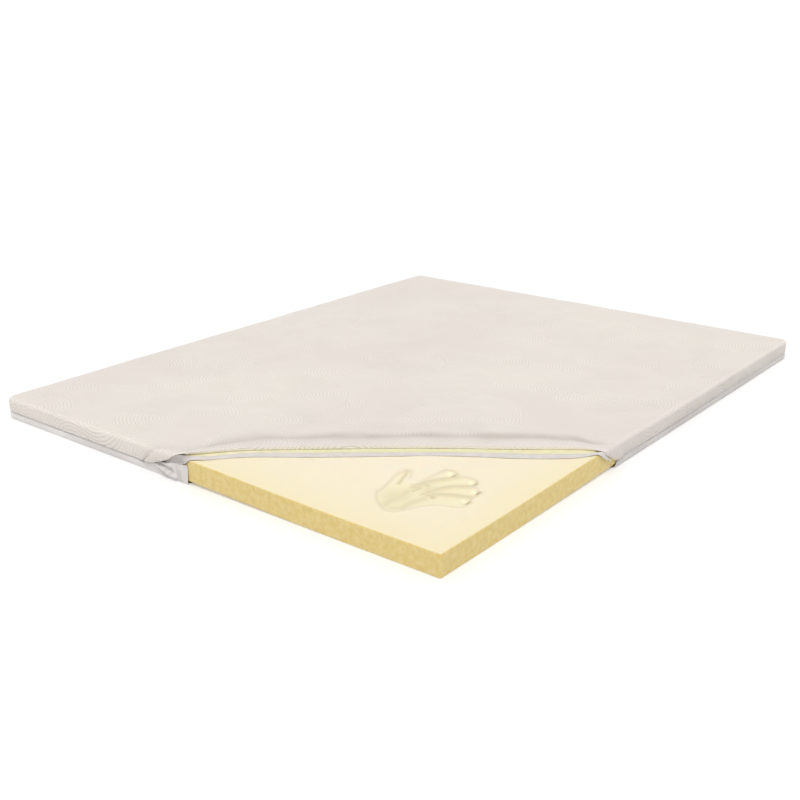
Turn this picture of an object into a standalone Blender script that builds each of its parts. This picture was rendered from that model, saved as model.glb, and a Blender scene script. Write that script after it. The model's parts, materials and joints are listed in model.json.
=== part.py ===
"""A foam mattress topper in a zip-off knit cover, with one corner of the cover unzipped.

The foam core is one slab. The cover is an upper and a lower cloth that meet in a zip around the side.
At the corner at -X, -Y the zip is open: the upper cloth is turned under in a soft roll, the lower cloth
is turned in below the core, and the opened tape lies across the core. A hand has pressed into the foam.

Metres, +Z up. The origin is on the floor, at the middle of the topper. X runs along its length.
Each cloth is a flat pattern, cut along the diagonal fold, laid over the core and given its thickness.
"""

import math

import bmesh
import bpy
import numpy as np
from mathutils import Vector

# ---- the core
CORE_LENGTH = 2.000
CORE_WIDTH = 1.600
CORE_THICK = 0.058
CORE_BASE = 0.0023          # underside, where the base cloth lies flat
FOLD_LIFT = 0.0035          # what the turned-in base cloth adds below the core
FOLD_LIFT_FULL = 0.09       # it is whole up to this distance from the fold,
FOLD_LIFT_RUN = 0.14        # and fades out over this one
SAG_RUN = 0.40              # bared foam sags to the floor over this distance
LEFT_LIFT = 0.0025          # what its bunched border adds at the left end of the fold
LEFT_LIFT_REACH = 0.22
EDGE_SOFT = 0.011           # edges that the cover presses round
EDGE_CRISP = 0.003          # bared edges
PLAN_SOFT = 0.024           # covered upright corners
CRISP_BEYOND = -0.035       # distances from the fold between which the edge turns
SOFT_FROM = -0.012          # from crisp to soft
BARED_BOX = (-0.900, -0.700)    # the upright corner beyond these is bared
CORE_SPAN = 0.2             # widest span between the core's cut lines
CORE_CUTS = ((-0.900,), (-0.100, 0.100, 0.300))     # further cuts in X and in Y
CORE_FOLD_CUTS = (-0.40, -0.30, -0.20, -0.12, -0.06, -0.035, -0.022, -0.010, 0.09, 0.16, 0.23)

# ---- the cover
CLOTH_TOP = 0.0026          # quilted upper cloth
CLOTH_BASE = 0.0018         # plain lower cloth
CLEAR = 0.0005              # between pieces that touch
SIDE_AIR = 0.0015           # slack between the core's side and the cover
COVER_LIFT = 0.0032         # upper cloth's outer face above the core
HEM_TOP = 0.0245            # lower edge of the upper cloth
HEM_BASE = 0.0190           # upper edge of the lower cloth's border
BASE_EDGE = 0.004           # rounding of the lower cloth at the floor
PUFF = 0.0010               # soft rise and fall of the upper cloth
PUFF_WAVES = ((5.3, 1.1), (6.1, 0.4))   # its waves per metre and their start, in X and in Y
PUFF_RUN = 0.15             # it grows from nothing behind the roll over this distance
COVER_SPAN = 0.125          # widest span of the upper cloth's mesh
BASE_SPAN = 0.250           # and of the lower cloth's
BASE_TURN = 0.0027          # outer radius of the lower cloth's fold

# ---- the zip
TAPE_THICK = 0.0011
TAPE_LOW = 0.0130
TAPE_HIGH = 0.0290
CHAIN_RISE = 0.0014         # teeth stand proud of the tape in the groove
CHAIN_HALF = 0.0012         # half height of the row of teeth
CHAIN_FOOT = 0.0022         # and of its foot on the tape
CORNER_STEPS = 12
CLOSED_LEFT = 0.136         # Y where the closed zip ends on the -X side
CLOSED_FRONT = -0.219       # X where it ends on the -Y side
OPEN_TAPE_THICK = 0.0012
EDGE_CLEARANCE = 0.0020     # opened tape over the core's edge
EDGE_REACH = 0.03           # it comes down to the foam over this distance
EDGE_MARGIN = 0.012         # the tape's mesh is cut this far on either side of the edge

# ---- the fold, along a straight base line across the corner
FOLD_LEFT = (-1.000, 0.040)
FOLD_FRONT = (-0.300, -0.800)
ROLL_WIDTH = 0.085          # from the roll's front to the crease behind it
ROLL_TOP = 0.0091           # roll above the core
ROLL_TOP_ENDS = 0.0073      # the same, on the side walls
LIP = 0.034                 # cloth turned under the roll
BASE_LIP_END = 0.05         # the lower cloth's turned-in strip stops this far from the core's sides
BOW_REACH = 0.35            # the fold's bend fades out over this distance
WALL_SLANT = 0.9            # how much more the roll's front spreads along a wall
WALL_BLEND = 0.15           # near a wall, cloth slides along the wall
FOLD_LENGTH = 1.08          # the fold's run across the core, from wall to wall
WALL_START = -0.02          # places along the base line, from either end, over which
WALL_RUN = 0.08             # the roll takes on its form on the walls
LIP_SHARE = 0.3             # the turned-under cloth narrows to this share at the ends
LIP_RUN = 0.14
ROLL_BACK = 0.55            # share of its width at which the roll starts to fall to the crease
FLAT_FROM = 0.20            # cloth further in than this isn't drawn into the roll

# along the base line: place, offset of the roll's front towards the cover
ROLL_FRONT = (
    (-0.094, 0.028),
    (0.000, 0.004),
    (0.100, 0.016),
    (0.200, 0.030),
    (0.310, 0.039),
    (0.500, 0.040),
    (0.700, 0.034),
    (0.850, 0.023),
    (0.980, 0.018),
    (1.040, 0.018),
    (1.095, 0.000),
    (1.171, 0.033),
)
# along the base line: place, roll's width as a share of ROLL_WIDTH
ROLL_SHARE = (
    (-0.094, 0.30),
    (0.000, 0.42),
    (0.100, 0.76),
    (0.200, 1.00),
    (0.800, 1.00),
    (0.890, 1.15),
    (0.950, 1.36),
    (1.000, 1.04),
    (1.060, 0.80),
    (1.110, 0.62),
    (1.171, 0.34),
)
# along the base line: place, offset of the lower cloth's fold
BASE_FRONT = (
    (-0.034, -0.042),
    (-0.007, -0.029),
    (0.050, -0.012),
    (1.050, 0.046),
    (1.099, 0.047),
    (1.120, 0.044),
)
# lower cloth's border on the -X side: Y, height; its free end is pulled up beside the core
BASE_HEM = (
    (-0.020, 0.0440),
    (0.030, 0.0360),
    (0.090, 0.0200),
    (0.115, HEM_BASE),
)
# opened tape: place along the base line, offset of its middle, half width
OPEN_TAPE = (
    (-0.069, 0.011, 0.0030),
    (-0.029, -0.004, 0.0060),
    (0.022, -0.018, 0.0100),
    (0.070, -0.004, 0.0100),
    (0.120, 0.006, 0.0085),
    (0.160, 0.011, 0.0100),
    (0.200, 0.015, 0.0115),
    (0.310, 0.018, 0.0120),
    (0.600, 0.018, 0.0120),
    (0.700, 0.015, 0.0120),
    (0.780, 0.004, 0.0120),
    (0.860, -0.006, 0.0120),
    (0.985, -0.015, 0.0120),
    (1.066, -0.022, 0.0105),
    (1.114, -0.011, 0.0060),
    (1.145, 0.006, 0.0030),
)

# ---- the hand's impression: part, root, tip, radius, depth, depth at the tip
HAND = (
    ("heel", (-0.866, -0.558), (-0.838, -0.548), 0.038, 0.0080, 0.0),
    ("palm", (-0.840, -0.562), (-0.776, -0.588), 0.041, 0.0075, 0.0),
    ("ball", (-0.836, -0.521), (-0.778, -0.508), 0.024, 0.0090, 0.0),
    ("thumb", (-0.788, -0.503), (-0.719, -0.483), 0.0155, 0.0065, 0.0080),
    ("index", (-0.750, -0.553), (-0.652, -0.566), 0.0170, 0.0065, 0.0100),
    ("middle", (-0.745, -0.580), (-0.660, -0.640), 0.0175, 0.0070, 0.0105),
    ("ring", (-0.770, -0.604), (-0.699, -0.678), 0.0170, 0.0070, 0.0105),
    ("little", (-0.802, -0.626), (-0.757, -0.694), 0.0155, 0.0065, 0.0100),
)
TIP_RADIUS = 0.012
HAND_MIDDLE = (-0.768, -0.578)
HAND_REACH = 0.168          # half side of the finely cut square around the hand
HAND_STEP = 0.0080

# ---- materials: colour, roughness, metallic
FOAM_FINISH = ((0.93, 0.84, 0.62), 0.90, 0.0)
KNIT_FINISH = ((0.86, 0.81, 0.75), 0.92, 0.0)
PLAIN_FINISH = ((0.84, 0.83, 0.82), 0.88, 0.0)
ZIP_FINISH = ((0.80, 0.79, 0.80), 0.60, 0.0)


# ------------------------------------------------------------------ shared sums
def smooth(x):
    """Smooth step from 0 at x <= 0 to 1 at x >= 1."""
    x = np.clip(x, 0.0, 1.0)
    return x * x * (3.0 - 2.0 * x)


def along(table, x, column=1):
    """Value of a table's column at x, on a smooth curve that never overshoots."""
    knots = np.array([row[0] for row in table])
    values = np.array([row[column] for row in table])
    gaps = np.diff(knots)
    slopes = np.diff(values) / gaps
    lean = np.zeros_like(values)
    same = slopes[:-1] * slopes[1:] > 0.0
    both = slopes[:-1] + slopes[1:]
    lean[1:-1][same] = (2.0 * slopes[:-1] * slopes[1:])[same] / both[same]
    x = np.clip(x, knots[0], knots[-1])
    i = np.clip(np.searchsorted(knots, x) - 1, 0, len(gaps) - 1)
    s = (x - knots[i]) / gaps[i]
    rise = values[i] * (1 + 2 * s) * (1 - s) ** 2 + values[i + 1] * s * s * (3 - 2 * s)
    turn = lean[i] * s * (1 - s) ** 2 - lean[i + 1] * s * s * (1 - s)
    return rise + gaps[i] * turn


BASE_START = np.array(FOLD_LEFT)
BASE_LINE = np.array(FOLD_FRONT) - BASE_START
BASE_ALONG = BASE_LINE / np.linalg.norm(BASE_LINE)
BASE_INWARD = np.array([-BASE_ALONG[1], BASE_ALONG[0]])


def fold_place(flat):
    """Each flat point's place along the fold's base line, and its distance to the covered side."""
    offset = flat - BASE_START
    return offset @ BASE_ALONG, offset @ BASE_INWARD


def core_lift(flat):
    """How far the core is raised above where it would lie on a flat base cloth."""
    t, w = fold_place(flat)
    on_fold = FOLD_LIFT * (1.0 - smooth((w - FOLD_LIFT_FULL) / FOLD_LIFT_RUN))
    to_floor = (FOLD_LIFT + CORE_BASE) * smooth(-w / SAG_RUN)
    left = np.hypot(flat[:, 0] + CORE_LENGTH / 2, flat[:, 1])
    return on_fold - to_floor + LEFT_LIFT * np.exp(-((left / LEFT_LIFT_REACH) ** 2))


def to_disc(dx, dy):
    """Turns the square corner of a flat pattern into a round one, square rings to arcs."""
    ax, ay = np.abs(dx), np.abs(dy)
    ring = np.maximum(ax, ay)
    ratio = np.minimum(ax, ay) / np.maximum(ring, 1e-12)
    turn = np.where(ax >= ay, ratio, 2.0 - ratio) * math.pi / 4
    return np.sign(dx) * ring * np.cos(turn), np.sign(dy) * ring * np.sin(turn)


def lay(flat, rise, edge, nominal):
    """Lays flat points over the core's top and down its sides, each rise outside it.

    edge is the core's rounding below the cloth, and nominal the rise at which the pattern is to size.
    """
    half = np.array([CORE_LENGTH, CORE_WIDTH]) / 2 - PLAN_SOFT
    inner = np.clip(flat, -half, half)
    dx, dy = to_disc(flat[:, 0] - inner[:, 0], flat[:, 1] - inner[:, 1])
    ring = np.hypot(dx, dy)
    way = np.stack([dx, dy], axis=1) / np.maximum(ring, 1e-12)[:, None]
    level = PLAN_SOFT - edge
    turn = np.clip((ring - level) / (edge + nominal), 0.0, math.pi / 2)
    down = np.maximum(ring - level - (edge + nominal) * math.pi / 2, 0.0)
    out = np.minimum(ring, level) + np.sin(turn) * (edge + rise + SIDE_AIR)
    drop = edge - np.cos(turn) * (edge + rise) + down
    plan = inner + way * out[:, None]
    top = CORE_BASE + CORE_THICK
    share = np.clip((top - drop - HEM_TOP) / (top - HEM_TOP), 0.0, 1.0)
    height = top - drop + core_lift(plan) * share
    return np.column_stack([plan, height])


def slide(flat, shift):
    """Moves flat points across the fold by shift, and along the wall where they are on a wall."""
    half = np.array([CORE_LENGTH, CORE_WIDTH]) / 2 - PLAN_SOFT
    left = smooth(1.0 - (flat[:, 0] + half[0]) / WALL_BLEND)[:, None]
    front = smooth(1.0 - (flat[:, 1] + half[1]) / WALL_BLEND)[:, None]
    way = (1.0 - left - front) * BASE_INWARD
    way = way + left * np.array([0.0, 1.0 / BASE_INWARD[1]])
    way = way + front * np.array([1.0 / BASE_INWARD[0], 0.0])
    return flat + way * shift[:, None]


def outline(place, out):
    """Points at a distance out from the core's side, by the length along it from its -X, +Y corner."""
    length, width = CORE_LENGTH - 2 * PLAN_SOFT, CORE_WIDTH - 2 * PLAN_SOFT
    arc = PLAN_SOFT * math.pi / 2
    runs = (
        ((-length / 2, CORE_WIDTH / 2), 0.0, length),
        ((CORE_LENGTH / 2, width / 2), -90.0, width),
        ((length / 2, -CORE_WIDTH / 2), 180.0, length),
        ((-CORE_LENGTH / 2, -width / 2), 90.0, width),
    )
    points = np.zeros((len(place), 2))
    start = 0.0
    for origin, heading, run in runs:
        angle = math.radians(heading)
        ahead = np.array([math.cos(angle), math.sin(angle)])
        aside = np.array([-ahead[1], ahead[0]])
        s = place - start
        on_run = (s >= 0) & (s <= run)
        points[on_run] = np.array(origin) + s[on_run, None] * ahead + aside * out[on_run, None]
        on_arc = (s > run) & (s < run + arc)
        turn = (s[on_arc] - run) / PLAN_SOFT
        centre = np.array(origin) + run * ahead - PLAN_SOFT * aside
        spoke = np.sin(turn)[:, None] * ahead + np.cos(turn)[:, None] * aside
        points[on_arc] = centre + spoke * (PLAN_SOFT + out[on_arc, None])
        start += run + arc
    return points


# ------------------------------------------------------------------ mesh helpers
def pattern(lines_u, lines_v):
    """A flat grid with its lines at the given places."""
    mesh = bmesh.new()
    bmesh.ops.create_grid(mesh, x_segments=len(lines_u) - 1, y_segments=len(lines_v) - 1, size=1.0)
    for vert in mesh.verts:
        i = round((vert.co.x + 1.0) / 2.0 * (len(lines_u) - 1))
        j = round((vert.co.y + 1.0) / 2.0 * (len(lines_v) - 1))
        vert.co = Vector((lines_u[i], lines_v[j], 0.0))
    return mesh


def cut(mesh, point, normal, faces=None, remove=False):
    """Cuts faces, or the whole mesh, along a plane, and may remove what lies beyond it."""
    faces = list(mesh.faces) if faces is None else faces
    edges = {edge for face in faces for edge in face.edges}
    verts = {vert for face in faces for vert in face.verts}
    bmesh.ops.bisect_plane(
        mesh,
        geom=list(verts) + list(edges) + faces,
        dist=1e-6,
        plane_co=point,
        plane_no=normal,
        clear_outer=remove,
    )


def cut_along_fold(mesh, distance, remove=False):
    """Cuts the mesh parallel to the fold's base line; what is removed lies towards the bared corner."""
    point = BASE_START + BASE_INWARD * distance
    cut(mesh, (*point, 0.0), (*-BASE_INWARD, 0.0), remove=remove)


def get_points(mesh):
    """The mesh's points as an array."""
    return np.array([vert.co[:] for vert in mesh.verts])


def set_points(mesh, points):
    """Moves the mesh's points to the rows of an array."""
    for vert, row in zip(mesh.verts, points):
        vert.co = Vector(row)


def make_material(name, look):
    """Makes a material of a finish: its colour, roughness and metallic value."""
    colour, roughness, metallic = look
    material = bpy.data.materials.new(name)
    material.use_nodes = True
    shader = material.node_tree.nodes["Principled BSDF"]
    shader.inputs["Base Color"].default_value = (*colour, 1.0)
    shader.inputs["Roughness"].default_value = roughness
    shader.inputs["Metallic"].default_value = metallic
    return material


def make_object(name, mesh, look, thickness=0.0):
    """Makes an object of the mesh; a sheet gets its thickness on its inner side."""
    bmesh.ops.recalc_face_normals(mesh, faces=mesh.faces)
    if thickness:
        middle = Vector((0.0, 0.0, CORE_THICK / 2))
        facing = 0.0
        for face in mesh.faces:
            facing += face.normal.dot(face.calc_center_median() - middle) * face.calc_area()
        if facing < 0.0:
            bmesh.ops.reverse_faces(mesh, faces=mesh.faces)
    data = bpy.data.meshes.new(name)
    mesh.to_mesh(data)
    mesh.free()
    data.shade_smooth()
    obj = bpy.data.objects.new(name, data)
    bpy.data.collections["mattress_topper"].objects.link(obj)
    data.materials.append(make_material(name + "_finish", look))
    if thickness:
        sheet = obj.modifiers.new("thickness", "SOLIDIFY")
        sheet.thickness = thickness
        sheet.offset = -1.0
    return obj


# ------------------------------------------------------------------ the core
def trough(away):
    """Section of a pressed hollow, from 1 in its middle to 0 at its rim."""
    return 1.0 - smooth(away * 0.9 - 0.1)


def pressed(flat):
    """Depth of the hand's impression at each point."""
    depth = np.zeros(len(flat))
    for _, root, tip, radius, deep, tip_deep in HAND:
        root, tip = np.array(root), np.array(tip)
        line = tip - root
        share = np.clip((flat - root) @ line / (line @ line), 0.0, 1.0)
        away = np.linalg.norm(flat - root - share[:, None] * line, axis=1) / radius
        depth = np.maximum(depth, deep * trough(away))
        away = np.linalg.norm(flat - tip, axis=1) / TIP_RADIUS
        depth = np.maximum(depth, tip_deep * trough(away))
    return depth


def round_core(points):
    """Rounds the core's edges: softly under the cover, crisply where it is bared."""
    flat = points[:, :2]
    bared = (flat[:, 0] < BARED_BOX[0]) & (flat[:, 1] < BARED_BOX[1])
    corner = np.where(bared, EDGE_CRISP, PLAN_SOFT)
    half = np.array([CORE_LENGTH, CORE_WIDTH]) / 2 - corner[:, None]
    inner = np.clip(flat, -half, half)
    dx, dy = to_disc(flat[:, 0] - inner[:, 0], flat[:, 1] - inner[:, 1])
    ring = np.hypot(dx, dy)
    way = np.stack([dx, dy], axis=1) / np.maximum(ring, 1e-12)[:, None]
    _, w = fold_place(flat)
    covered = smooth((w - CRISP_BEYOND) / (SOFT_FROM - CRISP_BEYOND))
    edge = EDGE_CRISP + (EDGE_SOFT - EDGE_CRISP) * covered
    side = np.clip(ring - corner + edge, 0.0, None)
    middle = CORE_THICK / 2
    rise = points[:, 2] - middle
    over = np.clip(np.abs(rise) - middle + edge, 0.0, None)
    reach = np.hypot(side, over)
    shrink = np.where(reach > 0.0, np.maximum(side, over) / np.maximum(reach, 1e-12), 1.0)
    ring = ring - side + side * shrink
    rise = np.sign(rise) * (np.abs(rise) - over + over * shrink)
    return np.column_stack([inner + way * ring[:, None], middle + rise])


def build_core():
    """The foam slab, with its sag to the floor at the bared corner and the hand's impression."""
    mesh = bmesh.new()
    bmesh.ops.create_cube(mesh, size=1.0)
    bmesh.ops.scale(mesh, vec=(CORE_LENGTH, CORE_WIDTH, CORE_THICK), verts=mesh.verts)
    bmesh.ops.translate(mesh, vec=(0.0, 0.0, CORE_THICK / 2), verts=mesh.verts)
    insets = (EDGE_CRISP, (EDGE_CRISP + EDGE_SOFT) / 2, EDGE_SOFT, PLAN_SOFT)
    for axis, size in enumerate((CORE_LENGTH, CORE_WIDTH)):
        normal = [0.0, 0.0, 0.0]
        normal[axis] = 1.0
        spans = round(size / CORE_SPAN)
        places = [size / 2 - inset for inset in insets]
        places += [inset - size / 2 for inset in insets]
        places += [size * (i / spans - 0.5) for i in range(1, spans)]
        places += CORE_CUTS[axis]
        for place in places:
            cut(mesh, [place * n for n in normal], normal)
    for inset in insets[:3]:
        cut(mesh, (0, 0, inset), (0, 0, 1))
        cut(mesh, (0, 0, CORE_THICK - inset), (0, 0, 1))
    for distance in CORE_FOLD_CUTS:
        cut_along_fold(mesh, distance)
    cut_hand_square(mesh)
    points = get_points(mesh)
    top = points[:, 2] > CORE_THICK - 1e-6
    depth = pressed(points[:, :2]) * top
    points = round_core(points)
    points[:, 2] += CORE_BASE + core_lift(points[:, :2]) - depth
    set_points(mesh, points)
    return make_object("foam_core", mesh, FOAM_FINISH)


def cut_hand_square(mesh):
    """Cuts the core's top finely in a square around the hand."""
    def top_faces(reach):
        found = []
        for face in mesh.faces:
            middle = face.calc_center_median()
            near = max(abs(middle.x - HAND_MIDDLE[0]), abs(middle.y - HAND_MIDDLE[1])) < reach
            if near and middle.z > CORE_THICK - 1e-6:
                found.append(face)
        return found

    for axis in (0, 1):
        normal = (1.0 - axis, float(axis), 0.0)
        for side in (-1, 1):
            place = HAND_MIDDLE[axis] + side * HAND_REACH
            cut(mesh, [place * n for n in normal], normal, top_faces(0.6))
    steps = round(2 * HAND_REACH / HAND_STEP)
    for axis in (0, 1):
        normal = (1.0 - axis, float(axis), 0.0)
        for i in range(1, steps):
            place = HAND_MIDDLE[axis] + HAND_REACH * (2 * i / steps - 1)
            cut(mesh, [place * n for n in normal], normal, top_faces(HAND_REACH))


# ------------------------------------------------------------------ the upper cloth
def ring_lines(half, rings, step):
    """Pattern lines across one direction: evenly inside, then one for each ring to the hem."""
    spans = round(2 * half / step)
    inside = [half * (2 * i / spans - 1) for i in range(spans + 1)]
    return [-half - ring for ring in reversed(rings)] + inside + [half + ring for ring in rings]


def roll_section(w, roll_top, share, slant):
    """Where cloth at a distance w from the roll's front lies: distance inward, and rise above the core.

    share narrows the roll behind its front, and slant widens its front where it crosses a wall aslant.
    """
    radius = (roll_top - CLEAR) / 2
    bend = radius * math.pi / 2
    turn = np.clip(w / radius, -math.pi / 2, math.pi / 2)
    inward = slant * radius * (1.0 - np.cos(turn)) + share * np.maximum(np.abs(w) - bend, 0.0)
    rise = CLEAR + radius * (1.0 + np.sin(turn))
    shoulder = smooth((w / ROLL_WIDTH - ROLL_BACK) / (1.0 - ROLL_BACK))
    rise = rise - shoulder * (roll_top - COVER_LIFT)
    return inward, rise


def build_cover_top():
    """The quilted cloth: its top, the border down to the zip, the soft roll and the lip under it."""
    half = np.array([CORE_LENGTH, CORE_WIDTH]) / 2 - PLAN_SOFT
    level = PLAN_SOFT - EDGE_SOFT
    bend = (EDGE_SOFT + COVER_LIFT) * math.pi / 2
    wall = CORE_BASE + CORE_THICK - EDGE_SOFT - HEM_TOP
    rings = [level + bend * i / 4 for i in range(5)] + [level + bend + wall * i / 2 for i in (1, 2)]
    mesh = pattern(ring_lines(half[0], rings, COVER_SPAN), ring_lines(half[1], rings, COVER_SPAN))
    cut_along_fold(mesh, -LIP, remove=True)
    radius = (ROLL_TOP - CLEAR) / 2
    arc = [radius * math.pi / 2 * i / 3 for i in range(-3, 4)]
    back = [ROLL_WIDTH * share for share in (0.3, ROLL_BACK, 0.7, 0.85, 1.0, 1.4)]
    for distance in [-LIP / 2] + arc + back + [FLAT_FROM]:
        cut_along_fold(mesh, distance)
    trim_wall_lip(mesh, half + 0.3 * level)
    flat = get_points(mesh)[:, :2]
    t, w = fold_place(flat)
    share = along(ROLL_SHARE, t)
    from_end = np.minimum(t, FOLD_LENGTH - t)
    narrow = LIP_SHARE + (1.0 - LIP_SHARE) * smooth(from_end / LIP_RUN)
    share = np.where(w < 0.0, share * narrow, share)
    on_wall = 1.0 - smooth((from_end - WALL_START) / WALL_RUN)
    roll_top = ROLL_TOP + (ROLL_TOP_ENDS - ROLL_TOP) * on_wall
    near = 1.0 - smooth(w / BOW_REACH)
    inward, rise = roll_section(w, roll_top, 1.0 + (share - 1.0) * near, 1.0 + WALL_SLANT * on_wall)
    spread = np.where(w > FLAT_FROM, 0.0, inward - w)
    spread = np.where(w > ROLL_WIDTH, spread * near, spread)
    flat = slide(flat, spread + along(ROLL_FRONT, t) * near)
    waves = [np.sin(flat[:, axis] * rate + start) for axis, (rate, start) in enumerate(PUFF_WAVES)]
    rise = rise + PUFF * (0.5 + 0.5 * waves[0] * waves[1]) * smooth((w - ROLL_WIDTH) / PUFF_RUN)
    set_points(mesh, lay(flat, rise, EDGE_SOFT, COVER_LIFT))
    return make_object("cover_top", mesh, KNIT_FINISH, CLOTH_TOP)


# ------------------------------------------------------------------ the lower cloth
def build_cover_base():
    """The plain base cloth with its low border, turned in along the diagonal below the core.

    On the -X side the border's free end is pulled up beside the core.
    """
    out = CLEAR + SIDE_AIR + CLOTH_TOP
    half = np.array([CORE_LENGTH, CORE_WIDTH]) / 2 - PLAN_SOFT
    level = PLAN_SOFT + out - BASE_EDGE
    bend = BASE_EDGE * math.pi / 2
    rings = [0.5 * level, level, level + bend / 2, level + bend]
    rings += [level + bend + (HEM_BASE - BASE_EDGE) * i / 2 for i in (1, 2)]
    mesh = pattern(ring_lines(half[0], rings, BASE_SPAN), ring_lines(half[1], rings, BASE_SPAN))
    radius = BASE_TURN
    cut_along_fold(mesh, -LIP, remove=True)
    for distance in [radius * math.pi / 2 * i / 2 for i in range(-2, 3)] + [0.03, 0.12]:
        cut_along_fold(mesh, distance)
    trim_wall_lip(mesh, half + PLAN_SOFT - BASE_LIP_END)
    for place in np.arange(0.0, 0.22, 0.03):
        cut(mesh, (0.0, place, 0.0), (0.0, 1.0, 0.0))
    flat = get_points(mesh)[:, :2]
    t, w = fold_place(flat)
    turn = np.clip(w / radius, -math.pi / 2, math.pi / 2)
    inward = radius * (1.0 - np.cos(turn)) + np.maximum(np.abs(w) - radius * math.pi / 2, 0.0)
    depth = radius * (1.0 - np.sin(turn))
    near = 1.0 - smooth(w / BOW_REACH)
    flat = slide(flat, (inward - w) * (w < 0.12) + along(BASE_FRONT, t) * near)
    inner = np.clip(flat, -half, half)
    dx, dy = to_disc(flat[:, 0] - inner[:, 0], flat[:, 1] - inner[:, 1])
    ring = np.hypot(dx, dy)
    way = np.stack([dx, dy], axis=1) / np.maximum(ring, 1e-12)[:, None]
    turn = np.clip((ring - level) / BASE_EDGE, 0.0, math.pi / 2)
    up = np.maximum(ring - level - bend, 0.0)
    reach = np.minimum(ring, level) + np.sin(turn) * (BASE_EDGE - depth)
    pulled = (along(BASE_HEM, flat[:, 1]) - BASE_EDGE) / (HEM_BASE - BASE_EDGE)
    up = up * np.where(flat[:, 0] < -half[0], pulled, 1.0)
    height = BASE_EDGE - np.cos(turn) * (BASE_EDGE - depth) + up
    set_points(mesh, np.column_stack([inner + way * reach[:, None], height]))
    return make_object("cover_base", mesh, PLAIN_FINISH, CLOTH_BASE)


def trim_wall_lip(mesh, edge):
    """Removes the turned-in strip beyond an edge on the side walls: the border just curls in there."""
    for axis in (0, 1):
        normal = (1.0 - axis, float(axis), 0.0)
        cut(mesh, [-edge[axis] * n for n in normal], normal)
    gone = []
    for face in mesh.faces:
        middle = face.calc_center_median()
        flat = np.array([[middle.x, middle.y]])
        beyond = middle.x < -edge[0] or middle.y < -edge[1]
        if beyond and fold_place(flat)[1][0] < 0.0:
            gone.append(face)
    bmesh.ops.delete(mesh, geom=gone, context="FACES")


# ------------------------------------------------------------------ the zip
def build_zip_closed():
    """The closed zip: a tape around the side behind the groove, with its chain standing proud."""
    arc = PLAN_SOFT * math.pi / 2
    length, width = CORE_LENGTH - 2 * PLAN_SOFT, CORE_WIDTH - 2 * PLAN_SOFT
    whole = 2 * (length + width) + 4 * arc
    start = -arc - (width / 2 - CLOSED_LEFT)
    end = length + arc + width + arc + (length / 2 - CLOSED_FRONT)
    places = [start, start + 0.3]
    for corner in (-arc, length, length + arc + width):
        places += [corner + arc * i / CORNER_STEPS for i in range(CORNER_STEPS + 1)]
    places += [0.5, 1.0, 1.5, 2.4, 3.0, 4.0, end - 0.3, end]
    places = sorted(place for place in places if start <= place <= end)
    middle = (HEM_TOP + HEM_BASE) / 2
    chain = [middle + rise for rise in (-CHAIN_FOOT, -CHAIN_HALF, CHAIN_HALF, CHAIN_FOOT)]
    mesh = pattern(places, [TAPE_LOW] + chain + [TAPE_HIGH])
    flat = get_points(mesh)
    proud = np.abs(flat[:, 1] - middle) < (CHAIN_HALF + CHAIN_FOOT) / 2
    out = CLEAR + TAPE_THICK + CHAIN_RISE * proud
    plan = outline(np.mod(flat[:, 0], whole), out)
    set_points(mesh, np.column_stack([plan, flat[:, 1]]))
    return make_object("zip_closed", mesh, ZIP_FINISH, TAPE_THICK)


def build_zip_open_tape():
    """The opened half of the zip, from one closed point across the core to the other."""
    places = np.linspace(OPEN_TAPE[0][0], OPEN_TAPE[-1][0], 1200)
    middle = BASE_START + places[:, None] * BASE_ALONG + along(OPEN_TAPE, places)[:, None] * BASE_INWARD
    ahead = np.gradient(middle, axis=0)
    ahead /= np.linalg.norm(ahead, axis=1)[:, None]
    ends = np.concatenate([np.linspace(places[0], 0.14, 20), np.linspace(0.20, 0.98, 14)])
    ends = np.concatenate([ends, np.linspace(1.03, places[-1], 14)])
    mesh = pattern(ends, [-1.0, 0.0, 1.0])
    flat = get_points(mesh)
    edge = EDGE_CRISP + 0.001
    level = PLAN_SOFT - edge
    bend = (edge + OPEN_TAPE_THICK) * math.pi / 2
    pick = np.clip(np.searchsorted(places, flat[:, 0]), 0, len(places) - 1)
    across = np.stack([-ahead[pick, 1], ahead[pick, 0]], axis=1)
    reach = flat[:, 1] * along(OPEN_TAPE, flat[:, 0], column=2)
    on_core = middle[pick] + across * reach[:, None]
    set_points(mesh, np.column_stack([on_core, np.zeros(len(on_core))]))
    half = np.array([CORE_LENGTH, CORE_WIDTH]) / 2 - PLAN_SOFT
    rings = [level - EDGE_MARGIN] + [level + bend * i / 3 for i in range(4)] + [level + bend + EDGE_MARGIN]
    for axis in (0, 1):
        normal = (1.0 - axis, float(axis), 0.0)
        for ring in rings:
            cut(mesh, [-(half[axis] + ring) * n for n in normal], normal)
    on_core = get_points(mesh)[:, :2]
    to_side = np.minimum(on_core[:, 0] + half[0] + level, on_core[:, 1] + half[1] + level)
    over_edge = np.clip(1.0 - np.abs(to_side + bend / 2) / EDGE_REACH, 0.0, 1.0)
    rise = CLEAR + OPEN_TAPE_THICK + EDGE_CLEARANCE * smooth(over_edge)
    set_points(mesh, lay(on_core, rise, edge, OPEN_TAPE_THICK))
    return make_object("zip_open_tape", mesh, ZIP_FINISH, OPEN_TAPE_THICK)


# ------------------------------------------------------------------ the topper
def clear_scene():
    """Empties the scene and makes the topper's collection."""
    for obj in list(bpy.data.objects):
        bpy.data.objects.remove(obj, do_unlink=True)
    collection = bpy.data.collections.new("mattress_topper")
    bpy.context.scene.collection.children.link(collection)


def main():
    """Builds the topper's five pieces."""
    clear_scene()
    build_core()
    build_cover_top()
    build_cover_base()
    build_zip_closed()
    build_zip_open_tape()


main()
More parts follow.
